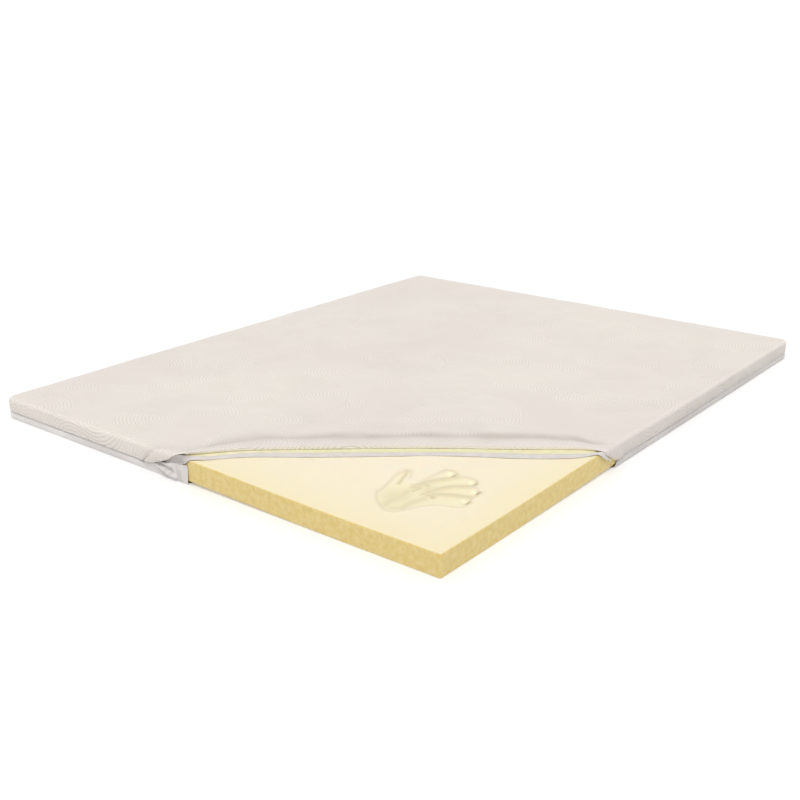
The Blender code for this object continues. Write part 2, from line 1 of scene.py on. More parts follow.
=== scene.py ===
"""Looks for a foam mattress topper whose zip-off cover is opened at one corner.

The foam slab is one class, and each cloth and zip of the cover is another. Every class builds its meshes over
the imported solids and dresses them. Metres, +Z up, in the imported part's own frame.
"""

import json
import logging
import math
from dataclasses import dataclass
from enum import Enum
from typing import Callable, Mapping, Sequence

import bpy
import numpy as np
from mathutils import Matrix, Vector

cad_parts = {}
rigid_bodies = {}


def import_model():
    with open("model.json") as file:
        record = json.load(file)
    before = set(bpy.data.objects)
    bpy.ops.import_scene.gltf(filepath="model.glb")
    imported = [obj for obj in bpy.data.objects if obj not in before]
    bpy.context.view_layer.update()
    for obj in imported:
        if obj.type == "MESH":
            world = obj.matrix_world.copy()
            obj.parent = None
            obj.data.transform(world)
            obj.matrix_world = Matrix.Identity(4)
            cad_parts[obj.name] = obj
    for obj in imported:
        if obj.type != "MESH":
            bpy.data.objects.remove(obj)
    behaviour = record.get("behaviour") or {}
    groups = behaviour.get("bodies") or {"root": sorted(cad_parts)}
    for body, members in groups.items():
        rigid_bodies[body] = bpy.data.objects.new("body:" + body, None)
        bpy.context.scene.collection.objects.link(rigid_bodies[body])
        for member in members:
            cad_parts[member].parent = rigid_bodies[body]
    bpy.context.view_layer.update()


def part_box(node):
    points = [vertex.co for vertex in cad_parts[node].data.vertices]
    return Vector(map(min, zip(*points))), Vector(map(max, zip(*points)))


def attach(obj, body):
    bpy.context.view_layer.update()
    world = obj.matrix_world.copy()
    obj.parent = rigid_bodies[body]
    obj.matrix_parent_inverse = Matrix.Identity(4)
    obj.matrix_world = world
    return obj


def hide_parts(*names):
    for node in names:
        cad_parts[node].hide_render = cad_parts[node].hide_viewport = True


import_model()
LOG = logging.getLogger("topper")
ROOT = "root"
Array = np.ndarray
Colour = tuple[float, float, float]
Places = tuple[tuple[float, float], ...]
Faces = list[tuple[int, int, int, int]]


class Slot(Enum):
    """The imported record's material slots."""

    FOAM = "foam"
    QUILTED = "quilted_knit"
    PLAIN = "plain_knit"
    ZIP = "zip_tape"


# ------------------------------------------------------------------ sums on arrays
def smooth(x: Array | float) -> Array:
    """Smooth step from 0 at x <= 0 to 1 at x >= 1."""
    x = np.clip(x, 0.0, 1.0)
    return x * x * (3.0 - 2.0 * x)


def along(table: Sequence[Sequence[float]], x: Array, column: int = 1) -> Array:
    """Reads a table on a smooth curve that never overshoots.

    Args:
        table: Rows that start with the place, in rising order.
        x: Places to read it at.
        column: The column to read.

    Returns:
        The column's value at each place.
    """
    knots = np.array([row[0] for row in table])
    values = np.array([row[column] for row in table])
    gaps = np.diff(knots)
    slopes = np.diff(values) / gaps
    lean = np.zeros_like(values)
    same = slopes[:-1] * slopes[1:] > 0.0
    both = slopes[:-1] + slopes[1:]
    lean[1:-1][same] = (2.0 * slopes[:-1] * slopes[1:])[same] / both[same]
    x = np.clip(x, knots[0], knots[-1])
    i = np.clip(np.searchsorted(knots, x) - 1, 0, len(gaps) - 1)
    s = (x - knots[i]) / gaps[i]
    rise = values[i] * (1 + 2 * s) * (1 - s) ** 2 + values[i + 1] * s * s * (3 - 2 * s)
    turn = lean[i] * s * (1 - s) ** 2 - lean[i + 1] * s * s * (1 - s)
    return rise + gaps[i] * turn


def graded(*stops: tuple[float, float]) -> Array:
    """Places along a line whose spacing goes smoothly from stop to stop.

    Args:
        stops: Place and spacing there, in rising order of place.

    Returns:
        The places, with the first and the last stop among them.
    """
    fine = np.linspace(stops[0][0], stops[-1][0], 4001)
    spacing = np.interp(fine, [stop[0] for stop in stops], [stop[1] for stop in stops])
    count = np.concatenate([[0.0], np.cumsum(np.diff(fine) * 2.0 / (spacing[1:] + spacing[:-1]))])
    steps = max(2, round(count[-1]))
    return np.interp(np.linspace(0.0, count[-1], steps + 1), count, fine)


def to_disc(dx: Array, dy: Array) -> tuple[Array, Array]:
    """Turns the square corner of a flat pattern into a round one, square rings to arcs."""
    ax, ay = np.abs(dx), np.abs(dy)
    ring = np.maximum(ax, ay)
    ratio = np.minimum(ax, ay) / np.maximum(ring, 1e-12)
    turn = np.where(ax >= ay, ratio, 2.0 - ratio) * math.pi / 4
    return np.sign(dx) * ring * np.cos(turn), np.sign(dy) * ring * np.sin(turn)


@dataclass(frozen=True)
class Swell:
    """Soft uneven rise and fall of a cloth: waves of many directions around one length."""

    length: float
    seed: int
    waves: int = 14

    def at(self, points: Array) -> Array:
        """The rise at each flat point, mostly between -1 and 1."""
        draw = np.random.default_rng(self.seed)
        heading = draw.uniform(0.0, math.tau, self.waves)
        rate = math.tau / (self.length * draw.uniform(0.7, 1.5, self.waves))
        start = draw.uniform(0.0, math.tau, self.waves)
        total = np.zeros(len(points))
        for way, speed, begin in zip(heading, rate, start):
            total += np.sin(speed * (points[:, 0] * math.cos(way) + points[:, 1] * math.sin(way)) + begin)
        return total * math.sqrt(2.0 / self.waves) * 0.6

    def on_line(self, place: Array) -> Array:
        """The rise at each place along a line."""
        return self.at(np.column_stack([place, np.zeros(len(place))]))


# ------------------------------------------------------------------ the slab and the fold
@dataclass(frozen=True)
class Fold:
    """The diagonal at the opened corner, along which both cloths are turned in."""

    left: tuple[float, float] = (-1.000, 0.040)
    front: tuple[float, float] = (-0.300, -0.800)
    length: float = 1.08
    bow_reach: float = 0.35
    wall_blend: float = 0.15

    @property
    def start(self) -> Array:
        """Where the base line starts."""
        return np.array(self.left)

    @property
    def ahead(self) -> Array:
        """The base line's direction."""
        line = np.array(self.front) - self.start
        return line / np.linalg.norm(line)

    @property
    def inward(self) -> Array:
        """The direction from the base line towards the covered side."""
        return np.array([-self.ahead[1], self.ahead[0]])

    def place(self, flat: Array) -> tuple[Array, Array]:
        """Each flat point's place along the base line, and its distance to the covered side."""
        offset = flat - self.start
        return offset @ self.ahead, offset @ self.inward

    def line_y(self, x: Array) -> Array:
        """Y of the base line at each X."""
        return self.left[1] - (x - self.left[0]) * self.inward[0] / self.inward[1]


FOLD = Fold()
# the opened tape's run: place along the fold's base line, offset of its middle, half its width
TAPE_RUN = (
    (-0.069, 0.013, 0.0030), (-0.029, 0.003, 0.0070), (0.005, -0.007, 0.0120), (0.030, -0.016, 0.0140),
    (0.070, -0.016, 0.0120), (0.120, -0.008, 0.0115), (0.160, 0.000, 0.0120), (0.200, 0.005, 0.0130),
    (0.310, 0.003, 0.0140), (0.400, 0.002, 0.0135), (0.500, 0.002, 0.0125), (0.600, 0.002, 0.0115),
    (0.700, -0.001, 0.0115), (0.780, -0.009, 0.0130), (0.860, -0.018, 0.0145), (0.950, -0.024, 0.0150),
    (1.000, -0.024, 0.0130), (1.035, -0.021, 0.0105), (1.066, -0.014, 0.0075), (1.114, 0.000, 0.0042),
    (1.145, 0.010, 0.0025),
)


@dataclass(frozen=True)
class Slab:
    """The foam's driving sizes, and how cloth lies over it."""

    length: float
    width: float
    thick: float = 0.058
    base: float = 0.0023
    plan_soft: float = 0.024
    edge_soft: float = 0.0068
    edge_crisp: float = 0.003
    side_air: float = 0.0015
    fold_lift: float = 0.0035
    left_lift: float = 0.0025
    hem_top: float = 0.0243
    crease: float = 0.0044
    crease_at: float = 0.0835

    def dip(self, w: Array, t: Array) -> Array:
        """Depth of the crease behind the roll, pressed into slab and cloth alike."""
        from_end = smooth((t - 0.05) / 0.20) * smooth((FOLD.length - 0.01 - t) / 0.09)
        back = np.clip((w - self.crease_at) / 0.030, 0.0, 1.0)
        front = np.clip((self.crease_at - w) / 0.018, 0.0, 1.0)
        shape = np.where(w > self.crease_at, (1.0 - back) ** 2 * (1.0 + 0.6 * back), 1.0 - smooth(front))
        return self.crease * shape * np.clip(from_end, 0.0, 1.0)

    @property
    def half(self) -> Array:
        """Half the slab's length and width, less its rounded upright corners."""
        return np.array([self.length, self.width]) / 2 - self.plan_soft

    @property
    def top(self) -> float:
        """Height of the slab's upper face where it lies flat."""
        return self.base + self.thick

    def lift(self, flat: Array) -> Array:
        """How far the slab is raised above where it would lie on a flat base cloth."""
        _, w = FOLD.place(flat)
        on_fold = self.fold_lift * (1.0 - smooth((w - 0.09) / 0.14))
        to_floor = (self.fold_lift + self.base) * smooth(-w / 0.40)
        left = np.hypot(flat[:, 0] + self.length / 2, flat[:, 1])
        return on_fold - to_floor + self.left_lift * np.exp(-((left / 0.22) ** 2))

    def split(self, flat: Array) -> tuple[Array, Array, Array]:
        """Parts flat points into the inner rectangle's point, the ring beyond it and the way outward."""
        inner = np.clip(flat, -self.half, self.half)
        dx, dy = to_disc(flat[:, 0] - inner[:, 0], flat[:, 1] - inner[:, 1])
        ring = np.hypot(dx, dy)
        way = np.stack([dx, dy], axis=1) / np.maximum(ring, 1e-12)[:, None]
        return inner, ring, way

    def lay(self, flat: Array, rise: Array, edge: float, nominal: float) -> Array:
        """Lays flat points over the top and down the sides.

        Args:
            flat: Points of the cloth's flat pattern.
            rise: How far outside the slab each lies.
            edge: The slab's rounding below the cloth.
            nominal: The rise at which the pattern is to size.

        Returns:
            The points in space.
        """
        inner, ring, way = self.split(flat)
        level = self.plan_soft - edge
        turn = np.clip((ring - level) / (edge + nominal), 0.0, math.pi / 2)
        down = np.maximum(ring - level - (edge + nominal) * math.pi / 2, 0.0)
        out = np.minimum(ring, level) + np.sin(turn) * (edge + rise + self.side_air)
        drop = edge - np.cos(turn) * (edge + rise) + down
        plan = inner + way * out[:, None]
        share = np.clip((self.top - drop - self.hem_top) / (self.top - self.hem_top), 0.0, 1.0)
        return np.column_stack([plan, self.top - drop + self.lift(plan) * share])

    def slide(self, flat: Array, shift: Array) -> Array:
        """Moves flat points across the fold by shift, and along the wall where they are on a wall."""
        left = smooth(1.0 - (flat[:, 0] + self.half[0]) / FOLD.wall_blend)[:, None]
        front = smooth(1.0 - (flat[:, 1] + self.half[1]) / FOLD.wall_blend)[:, None]
        way = (1.0 - left - front) * FOLD.inward
        way = way + left * np.array([0.0, 1.0 / FOLD.inward[1]])
        way = way + front * np.array([1.0 / FOLD.inward[0], 0.0])
        return flat + way * shift[:, None]

    def round_side(self, place: Array, out: Array) -> tuple[Array, Array]:
        """Points beside the slab's side.

        Args:
            place: Length along the side from its -X, +Y corner.
            out: Distance outside the side.

        Returns:
            The points in plan, and the way outward at each.
        """
        length, width = 2 * self.half
        arc = self.plan_soft * math.pi / 2
        runs = (
            ((-length / 2, self.width / 2), 0.0, length),
            ((self.length / 2, width / 2), -90.0, width),
            ((length / 2, -self.width / 2), 180.0, length),
            ((-self.length / 2, -width / 2), 90.0, width),
        )
        points, outward = np.zeros((len(place), 2)), np.zeros((len(place), 2))
        start = 0.0
        for origin, heading, run in runs:
            angle = math.radians(heading)
            ahead = np.array([math.cos(angle), math.sin(angle)])
            aside = np.array([-ahead[1], ahead[0]])
            s = place - start
            on_run = (s >= 0) & (s <= run)
            points[on_run] = np.array(origin) + s[on_run, None] * ahead + aside * out[on_run, None]
            outward[on_run] = aside
            on_arc = (s > run) & (s < run + arc)
            turn = (s[on_arc] - run) / self.plan_soft
            spoke = np.sin(turn)[:, None] * ahead + np.cos(turn)[:, None] * aside
            centre = np.array(origin) + run * ahead - self.plan_soft * aside
            points[on_arc] = centre + spoke * (self.plan_soft + out[on_arc, None])
            outward[on_arc] = spoke
            start += run + arc
        return points, outward

    @property
    def girth(self) -> float:
        """Length of the side all round."""
        return float(4 * self.half.sum() + 2 * math.pi * self.plan_soft)


# ------------------------------------------------------------------ meshes
def new_mesh(name: str, points: Array, faces: Sequence[Sequence[int]], **values: Array) -> bpy.types.Object:
    """Makes an object of points and faces, without the points that no face uses.

    Args:
        name: The object's name.
        points: The points, one row each.
        faces: The point numbers of each face.
        values: Point attributes: numbers, or rows of three.

    Returns:
        The object, linked to the scene.
    """
    used = np.zeros(len(points), bool)
    for face in faces:
        used[list(face)] = True
    number = np.cumsum(used) - 1
    mesh = bpy.data.meshes.new(name)
    mesh.from_pydata(points[used].tolist(), [], [[int(number[i]) for i in face] for face in faces])
    for label, value in values.items():
        kept = np.asarray(value, np.float32)[used]
        if kept.ndim == 1:
            mesh.attributes.new(label, "FLOAT", "POINT").data.foreach_set("value", kept)
        else:
            mesh.attributes.new(label, "FLOAT_VECTOR", "POINT").data.foreach_set("vector", kept.ravel())
    mesh.validate()
    mesh.shade_smooth()
    piece = bpy.data.objects.new(name, mesh)
    bpy.context.scene.collection.objects.link(piece)
    return piece


def grid_faces(columns: int, rows: int, keep: Array | None = None) -> Faces:
    """The faces of a grid whose points run row by row inside each column."""
    i, j = np.meshgrid(np.arange(columns - 1), np.arange(rows - 1), indexing="ij")
    first = (i * rows + j).ravel()
    faces = np.stack([first, first + rows, first + rows + 1, first + 1], axis=1)
    if keep is not None:
        faces = faces[keep.ravel()]
    return [tuple(face) for face in faces.tolist()]


def thicken(piece: bpy.types.Object, thickness: float) -> None:
    """Gives a sheet its thickness on its inner side."""
    wall = piece.modifiers.new("thickness", "SOLIDIFY")
    wall.thickness = thickness
    wall.offset = -1.0


def face_outwards(piece: bpy.types.Object, middle: Vector) -> None:
    """Turns a sheet's faces away from a middle point."""
    facing = sum(p.normal.dot(p.center - middle) * p.area for p in piece.data.polygons)
    if facing < 0.0:
        piece.data.flip_normals()


def dress(piece: bpy.types.Object, material: bpy.types.Material, slot: Slot, *nodes: str) -> None:
    """Gives a finished piece its material and body, and hides the solids that it stands for."""
    piece.data.materials.clear()
    piece.data.materials.append(material)
    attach(piece, ROOT)
    if nodes:
        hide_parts(*nodes)
    LOG.info("%s: %d faces", piece.name, len(piece.data.polygons))


# ------------------------------------------------------------------ what repeats along a path
@dataclass(frozen=True)
class Row:
    """A row of small equal things along a path, such as stitches or teeth, made by Geometry Nodes."""

    name: str
    pitch: float
    size: tuple[float, float, float]
    skew: float = 0.0

    def tree(self, unit: bpy.types.Object, material: bpy.types.Material) -> bpy.types.NodeTree:
        """The node tree: path to evenly spaced points, a unit on each, turned to the path and outward."""
        tree = bpy.data.node_groups.new(self.name, "GeometryNodeTree")
        face = tree.interface
        face.new_socket("Path", in_out="INPUT", socket_type="NodeSocketGeometry")
        face.new_socket("Pitch", in_out="INPUT", socket_type="NodeSocketFloat").default_value = self.pitch
        face.new_socket("Size", in_out="INPUT", socket_type="NodeSocketVector").default_value = self.size
        face.new_socket("Skew", in_out="INPUT", socket_type="NodeSocketFloat").default_value = self.skew
        face.new_socket("Row", in_out="OUTPUT", socket_type="NodeSocketGeometry")
        make, link = tree.nodes.new, tree.links.new
        given, result = make("NodeGroupInput"), make("NodeGroupOutput")
        curve, spaced = make("GeometryNodeMeshToCurve"), make("GeometryNodeResampleCurve")
        spaced.mode = "LENGTH"
        outward, tangent = make("GeometryNodeInputNamedAttribute"), make("GeometryNodeInputTangent")
        outward.data_type = "FLOAT_VECTOR"
        outward.inputs["Name"].default_value = "outward"
        ahead, upright = make("FunctionNodeAlignRotationToVector"), make("FunctionNodeAlignRotationToVector")
        ahead.axis = "X"
        upright.axis, upright.pivot_axis = "Z", "X"
        turned = make("FunctionNodeRotateRotation")
        turned.rotation_space = "LOCAL"
        skew = make("FunctionNodeAxisAngleToRotation")
        skew.inputs["Axis"].default_value = (0.0, 0.0, 1.0)
        shape, placed = make("GeometryNodeObjectInfo"), make("GeometryNodeInstanceOnPoints")
        shape.inputs["Object"].default_value = unit
        real, finish = make("GeometryNodeRealizeInstances"), make("GeometryNodeSetMaterial")
        finish.inputs["Material"].default_value = material
        link(given.outputs["Path"], curve.inputs["Mesh"])
        link(curve.outputs["Curve"], spaced.inputs["Curve"])
        link(given.outputs["Pitch"], spaced.inputs["Length"])
        link(tangent.outputs["Tangent"], ahead.inputs["Vector"])
        link(ahead.outputs["Rotation"], upright.inputs["Rotation"])
        link(outward.outputs["Attribute"], upright.inputs["Vector"])
        link(upright.outputs["Rotation"], turned.inputs["Rotation"])
        link(given.outputs["Skew"], skew.inputs["Angle"])
        link(skew.outputs["Rotation"], turned.inputs["Rotate By"])
        link(spaced.outputs["Curve"], placed.inputs["Points"])
        link(shape.outputs["Geometry"], placed.inputs["Instance"])
        link(turned.outputs["Rotation"], placed.inputs["Rotation"])
        link(given.outputs["Size"], placed.inputs["Scale"])
        link(placed.outputs["Instances"], real.inputs["Geometry"])
        link(real.outputs["Geometry"], finish.inputs["Geometry"])
        link(finish.outputs["Geometry"], result.inputs["Row"])
        return tree

    def build(self, path: Array, outward: Array, unit: bpy.types.Object,
              material: bpy.types.Material) -> bpy.types.Object:
        """Lays the row along a path.

        Args:
            path: The path's points.
            outward: The way away from the surface at each.
            unit: The thing that is repeated, one metre in each size.
            material: Its material.

        Returns:
            The row as one plain mesh object.
        """
        guide = bpy.data.meshes.new(self.name)
        guide.from_pydata(path.tolist(), [(i, i + 1) for i in range(len(path) - 1)], [])
        guide.attributes.new("outward", "FLOAT_VECTOR", "POINT").data.foreach_set("vector", outward.ravel())
        carrier = bpy.data.objects.new(self.name + "_path", guide)
        bpy.context.scene.collection.objects.link(carrier)
        nodes = carrier.modifiers.new("row", "NODES")
        nodes.node_group = self.tree(unit, material)
        for item in nodes.node_group.interface.items_tree:
            if item.in_out == "INPUT" and item.name in ("Pitch", "Size", "Skew"):
                nodes[item.identifier] = {"Pitch": self.pitch, "Size": self.size, "Skew": self.skew}[item.name]
        ready = carrier.evaluated_get(bpy.context.evaluated_depsgraph_get())
        mesh = bpy.data.meshes.new_from_object(ready)
        mesh.name = self.name
        bpy.data.objects.remove(carrier, do_unlink=True)
        mesh.shade_smooth()
        piece = bpy.data.objects.new(self.name, mesh)
        bpy.context.scene.collection.objects.link(piece)
        return piece


class Unit(Enum):
    """The small things that a row repeats: section half sizes along its length."""

    STITCH = ((-0.50, 0.10), (-0.40, 0.38), (-0.18, 0.50), (0.18, 0.50), (0.40, 0.38), (0.50, 0.10))
    TOOTH = ((-0.50, 0.30), (-0.36, 0.50), (0.20, 0.50), (0.44, 0.40), (0.50, 0.22))

    def build(self, sides: int = 8) -> bpy.types.Object:
        """A closed body of rings along X, one metre long, wide and high."""
        points, faces = [], []
        for place, radius in self.value:
            for k in range(sides):
                angle = math.tau * (k + 0.5) / sides
                points.append((place, radius * math.cos(angle), radius * math.sin(angle)))
        for ring in range(len(self.value) - 1):
            for k in range(sides):
                a, b = ring * sides + k, ring * sides + (k + 1) % sides
                faces.append((a, b, b + sides, a + sides))
        faces.append(tuple(reversed(range(sides))))
        faces.append(tuple(range(len(points) - sides, len(points))))
        piece = new_mesh("unit_" + self.name.lower(), np.array(points), faces)
        piece.data.flip_normals()
        return piece


# ------------------------------------------------------------------ shader sums
class Number:
    """A value that varies over a surface; sums on it add Math nodes."""

    def __init__(self, sheet: "Sheet", socket: bpy.types.NodeSocket) -> None:
        """Wraps an output socket of a node on a sheet."""
        self.sheet = sheet
        self.socket = socket

    def __add__(self, other: "Number | float") -> "Number":
        """Sum."""
        return self.sheet.maths("ADD", self, other)

    def __sub__(self, other: "Number | float") -> "Number":
        """Difference."""
        return self.sheet.maths("SUBTRACT", self, other)

    def __rsub__(self, other: float) -> "Number":
        """Difference from a number."""
        return self.sheet.maths("SUBTRACT", other, self)

    def __mul__(self, other: "Number | float") -> "Number":
        """Product."""
        return self.sheet.maths("MULTIPLY", self, other)

    def __truediv__(self, other: "Number | float") -> "Number":
        """Quotient."""
        return self.sheet.maths("DIVIDE", self, other)

    def __pow__(self, other: float) -> "Number":
        """Power."""
        return self.sheet.maths("POWER", self, other)

    def __abs__(self) -> "Number":
        """Absolute value."""
        return self.sheet.maths("ABSOLUTE", self)

    __radd__ = __add__
    __rmul__ = __mul__

    def sine(self) -> "Number":
        """Sine of an angle in radians."""
        return self.sheet.maths("SINE", self)

    def fraction(self) -> "Number":
        """What is left after whole numbers."""
        return self.sheet.maths("FRACT", self)

    def step(self, low: float, high: float) -> "Number":
        """Smooth step from 0 at low to 1 at high; high may be below low."""
        values = {"Value": self, "From Min": low, "From Max": high}
        node = self.sheet.node("ShaderNodeMapRange", {"interpolation_type": "SMOOTHSTEP"}, values)
        return Number(self.sheet, node.outputs["Result"])


class Sheet:
    """A material's sheet of nodes."""

    def __init__(self, name: str) -> None:
        """Makes the material, with its Principled shader."""
        self.material = bpy.data.materials.new(name)
        self.material.use_nodes = True
        self.tree = self.material.node_tree
        self.shader = self.tree.nodes["Principled BSDF"]

    def node(self, kind: str, settings: Mapping[str, object], values: Mapping[object, object]) -> bpy.types.Node:
        """Makes a node.

        Args:
            kind: Blender's name of the node's type.
            settings: Properties, which are set first.
            values: Values or links of its input sockets, by name or number.

        Returns:
            The node.
        """
        node = self.tree.nodes.new(kind)
        for name, value in settings.items():
            setattr(node, name, value)
        for name, value in values.items():
            self.feed(node.inputs[name], value)
        return node

    def feed(self, socket: bpy.types.NodeSocket, value: object) -> None:
        """Links a value or a socket to an input, or sets a plain value on it."""
        if isinstance(value, Number):
            self.tree.links.new(value.socket, socket)
        elif isinstance(value, bpy.types.NodeSocket):
            self.tree.links.new(value, socket)
        else:
            socket.default_value = value

    def maths(self, operation: str, *terms: "Number | float") -> Number:
        """A Math node's result."""
        node = self.node("ShaderNodeMath", {"operation": operation}, dict(enumerate(terms)))
        return Number(self, node.outputs[0])

    def attribute(self, name: str) -> bpy.types.Node:
        """Reads one of the piece's own attributes."""
        return self.node("ShaderNodeAttribute", {"attribute_name": name}, {})

    def number(self, name: str) -> Number:
        """Reads a number attribute."""
        return Number(self, self.attribute(name).outputs["Fac"])

    def flat(self, scale: Sequence[float] = (1.0, 1.0, 1.0), shift: Sequence[float] = (0.0, 0.0, 0.0),
             turn: float = 0.0) -> bpy.types.NodeSocket:
        """The flat pattern's place of each point, in metres, moved, turned and scaled."""
        source = self.attribute("flat").outputs["Vector"]
        values = {"Vector": source, "Location": shift, "Rotation": (0.0, 0.0, turn), "Scale": scale}
        return self.node("ShaderNodeMapping", {}, values).outputs["Vector"]

    def space(self, scale: Sequence[float] = (1.0, 1.0, 1.0)) -> bpy.types.NodeSocket:
        """Object coordinates, scaled."""
        source = self.node("ShaderNodeTexCoord", {}, {}).outputs["Object"]
        return self.node("ShaderNodeMapping", {}, {"Vector": source, "Scale": scale}).outputs["Vector"]

    def noise(self, at: bpy.types.NodeSocket, scale: float, detail: float = 2.0, rough: float = 0.5) -> Number:
        """Noise, about 0.5 on average."""
        values = {"Vector": at, "Scale": scale, "Detail": detail, "Roughness": rough}
        return Number(self, self.node("ShaderNodeTexNoise", {}, values).outputs["Fac"])

    def warp(self, at: bpy.types.NodeSocket, scale: float, amount: float) -> bpy.types.NodeSocket:
        """Places moved about by noise, by up to half the amount."""
        colour = self.node("ShaderNodeTexNoise", {}, {"Vector": at, "Scale": scale, "Detail": 1.0})
        centred = self.node("ShaderNodeVectorMath", {"operation": "SUBTRACT"},
                            {0: colour.outputs["Color"], 1: (0.5, 0.5, 0.5)})
        scaled = self.node("ShaderNodeVectorMath", {"operation": "SCALE"},
                           {0: centred.outputs[0], "Scale": amount})
        return self.node("ShaderNodeVectorMath", {"operation": "ADD"}, {0: at, 1: scaled.outputs[0]}).outputs[0]

    def scatter(self, at: bpy.types.NodeSocket, scale: float, random: float, dimensions: str = "2D") -> Number:
        """Distance to the nearest of scattered centres, in the scaled place's own unit."""
        node = self.node("ShaderNodeTexVoronoi", {"voronoi_dimensions": dimensions, "feature": "F1"},
                         {"Vector": at, "Scale": scale, "Randomness": random})
        return Number(self, node.outputs["Distance"])

    def cells(self, at: bpy.types.NodeSocket, size: float) -> Number:
        """Distance, in metres, to the nearest of scattered centres about size apart."""
        return self.scatter(at, 1.0 / size, 1.0) * size

    def loops(self, rows: float, columns: float, random: float) -> Number:
        """Knitted loops, so many to the metre each way, 1 at the middle of each."""
        return 1.0 - self.scatter(self.flat(scale=(rows, columns, 1.0)), 1.0, random)

    def mix(self, factor: "Number | float", low: "Number | float", high: "Number | float") -> Number:
        """A number between two others."""
        node = self.node("ShaderNodeMix", {"data_type": "FLOAT"}, {0: factor, 2: low, 3: high})
        return Number(self, node.outputs[0])

    def tint(self, factor: "Number | float", low: object, high: object) -> bpy.types.NodeSocket:
        """A colour between two others; each is three numbers or a socket."""
        ends = [(*end, 1.0) if isinstance(end, tuple) else end for end in (low, high)]
        node = self.node("ShaderNodeMix", {"data_type": "RGBA"}, {0: factor, 6: ends[0], 7: ends[1]})
        return node.outputs[2]

    def finish(self, colour: object, rough: object, height: Number | None,
               **constants: float | tuple[float, float, float]) -> bpy.types.Material:
        """Connects the shader.

        Args:
            colour: Base colour, three numbers or a socket.
            rough: Roughness, a number or a varying one.
            height: Relief in metres, or None.
            constants: Sockets with one value all over; an underscore stands for a space.

        Returns:
            The material.
        """
        self.feed(self.shader.inputs["Base Color"], (*colour, 1.0) if isinstance(colour, tuple) else colour)
        self.feed(self.shader.inputs["Roughness"], rough)
        if height is not None:
            bump = self.node("ShaderNodeBump", {}, {"Strength": 1.0, "Distance": 1.0, "Height": height})
            self.tree.links.new(bump.outputs["Normal"], self.shader.inputs["Normal"])
        for name, value in constants.items():
            self.shader.inputs[name.replace("_", " ")].default_value = value
        return self.material


# ------------------------------------------------------------------ finishes
@dataclass(frozen=True)
class QuiltedKnit:
    """Quilted knit: rings of low rounded ridges around scattered centres, over each other and fading."""

    pale: Colour = (0.820, 0.765, 0.690)
    warm: Colour = (0.785, 0.720, 0.665)
    shaded: Colour = (0.540, 0.490, 0.435)
    roll_underside_light: Colour = (0.930, 0.900, 0.820)
    ridge: float = 0.0105
    height: float = 0.00150
    spacing: float = 0.27
    # further rings laid over the first ones: spacing, reach and shift of each layer
    layers: tuple[tuple[float, float, float], ...] = ((0.44, 0.165, 0.31), (0.37, 0.135, 1.73), (0.52, 0.185, 4.11))

    def rings(self, distance: Number) -> Number:
        """Rounded ridges with narrow stitched valleys, from 0 to 1, by distance from their centre."""
        return abs((distance * (math.pi / self.ridge)).sine()) ** 1.4

    def make(self) -> bpy.types.Material:
        """The material."""
        sheet = Sheet("quilted_knit")
        at = sheet.warp(sheet.flat(), 3.0, 0.05)
        relief = self.rings(sheet.cells(at, self.spacing)) * (sheet.noise(at, 2.7, 1.0).step(0.38, 0.62) * 0.4 + 0.25)
        for turn, (size, reach, shift) in enumerate(self.layers):
            centre = sheet.cells(sheet.flat(shift=(shift, -0.7 * shift, 0.0), turn=0.9 * turn), size)
            inside = centre.step(reach, reach - 0.004)
            fade = sheet.noise(sheet.flat(shift=(0.0, shift, 0.0)), 5.0, 1.0).step(0.36, 0.60) * 0.70 + 0.30
            relief = sheet.mix(inside, relief, self.rings(centre) * fade)
        loop = sheet.loops(650.0, 470.0, 0.25)
        lint = sheet.noise(sheet.flat(), 900.0, 2.0)
        height = relief * self.height + loop * 0.00009 + lint * 0.00007
        patches = sheet.noise(sheet.flat(), 1.7, 2.0).step(0.30, 0.72)
        colour = sheet.tint(patches, self.warm, self.pale)
        # painted shade: the knit is darker where the relief is low, in the valleys between the ridges
        colour = sheet.tint(relief.step(0.0, 0.5) * 0.6 + 0.4, tuple(c * 0.89 for c in self.warm), colour)
        # painted shade on the border walls, carried by the side attribute
        colour = sheet.tint(sheet.number("side"), colour, tuple(c * 0.84 for c in self.warm))
        # painted shade in the crease behind the roll
        colour = sheet.tint(sheet.number("shade") * 0.85, colour, self.shaded)
        # painted light: the cloth under the roll made paler where it would lie in shade
        colour = sheet.tint(sheet.number("under"), colour, self.roll_underside_light)
        rough = sheet.noise(sheet.flat(), 60.0, 1.0) * 0.12 + 0.84
        return sheet.finish(colour, rough, height, Sheen_Weight=0.25, Sheen_Roughness=0.6, Specular_IOR_Level=0.25)


@dataclass(frozen=True)
class PlainKnit:
    """Plain white jersey with fine upright ribs."""

    pale: Colour = (0.770, 0.735, 0.715)
    dim: Colour = (0.670, 0.630, 0.610)
    shaded: Colour = (0.400, 0.355, 0.325)

    def make(self) -> bpy.types.Material:
        """The material."""
        sheet = Sheet("plain_knit")
        loop = sheet.loops(720.0, 560.0, 0.15)
        creases = sheet.noise(sheet.flat(), 22.0, 3.0, 0.55)
        height = loop * 0.00008 + creases * 0.0009
        colour = sheet.tint(sheet.noise(sheet.flat(), 4.0, 2.0).step(0.35, 0.65), self.dim, self.pale)
        # painted shade on the front border and in the grooves of the gathered end
        colour = sheet.tint(sheet.number("shade"), colour, self.shaded)
        rough = sheet.noise(sheet.flat(), 80.0, 1.0) * 0.1 + 0.82
        return sheet.finish(colour, rough, height, Sheen_Weight=0.2, Sheen_Roughness=0.6, Specular_IOR_Level=0.25)


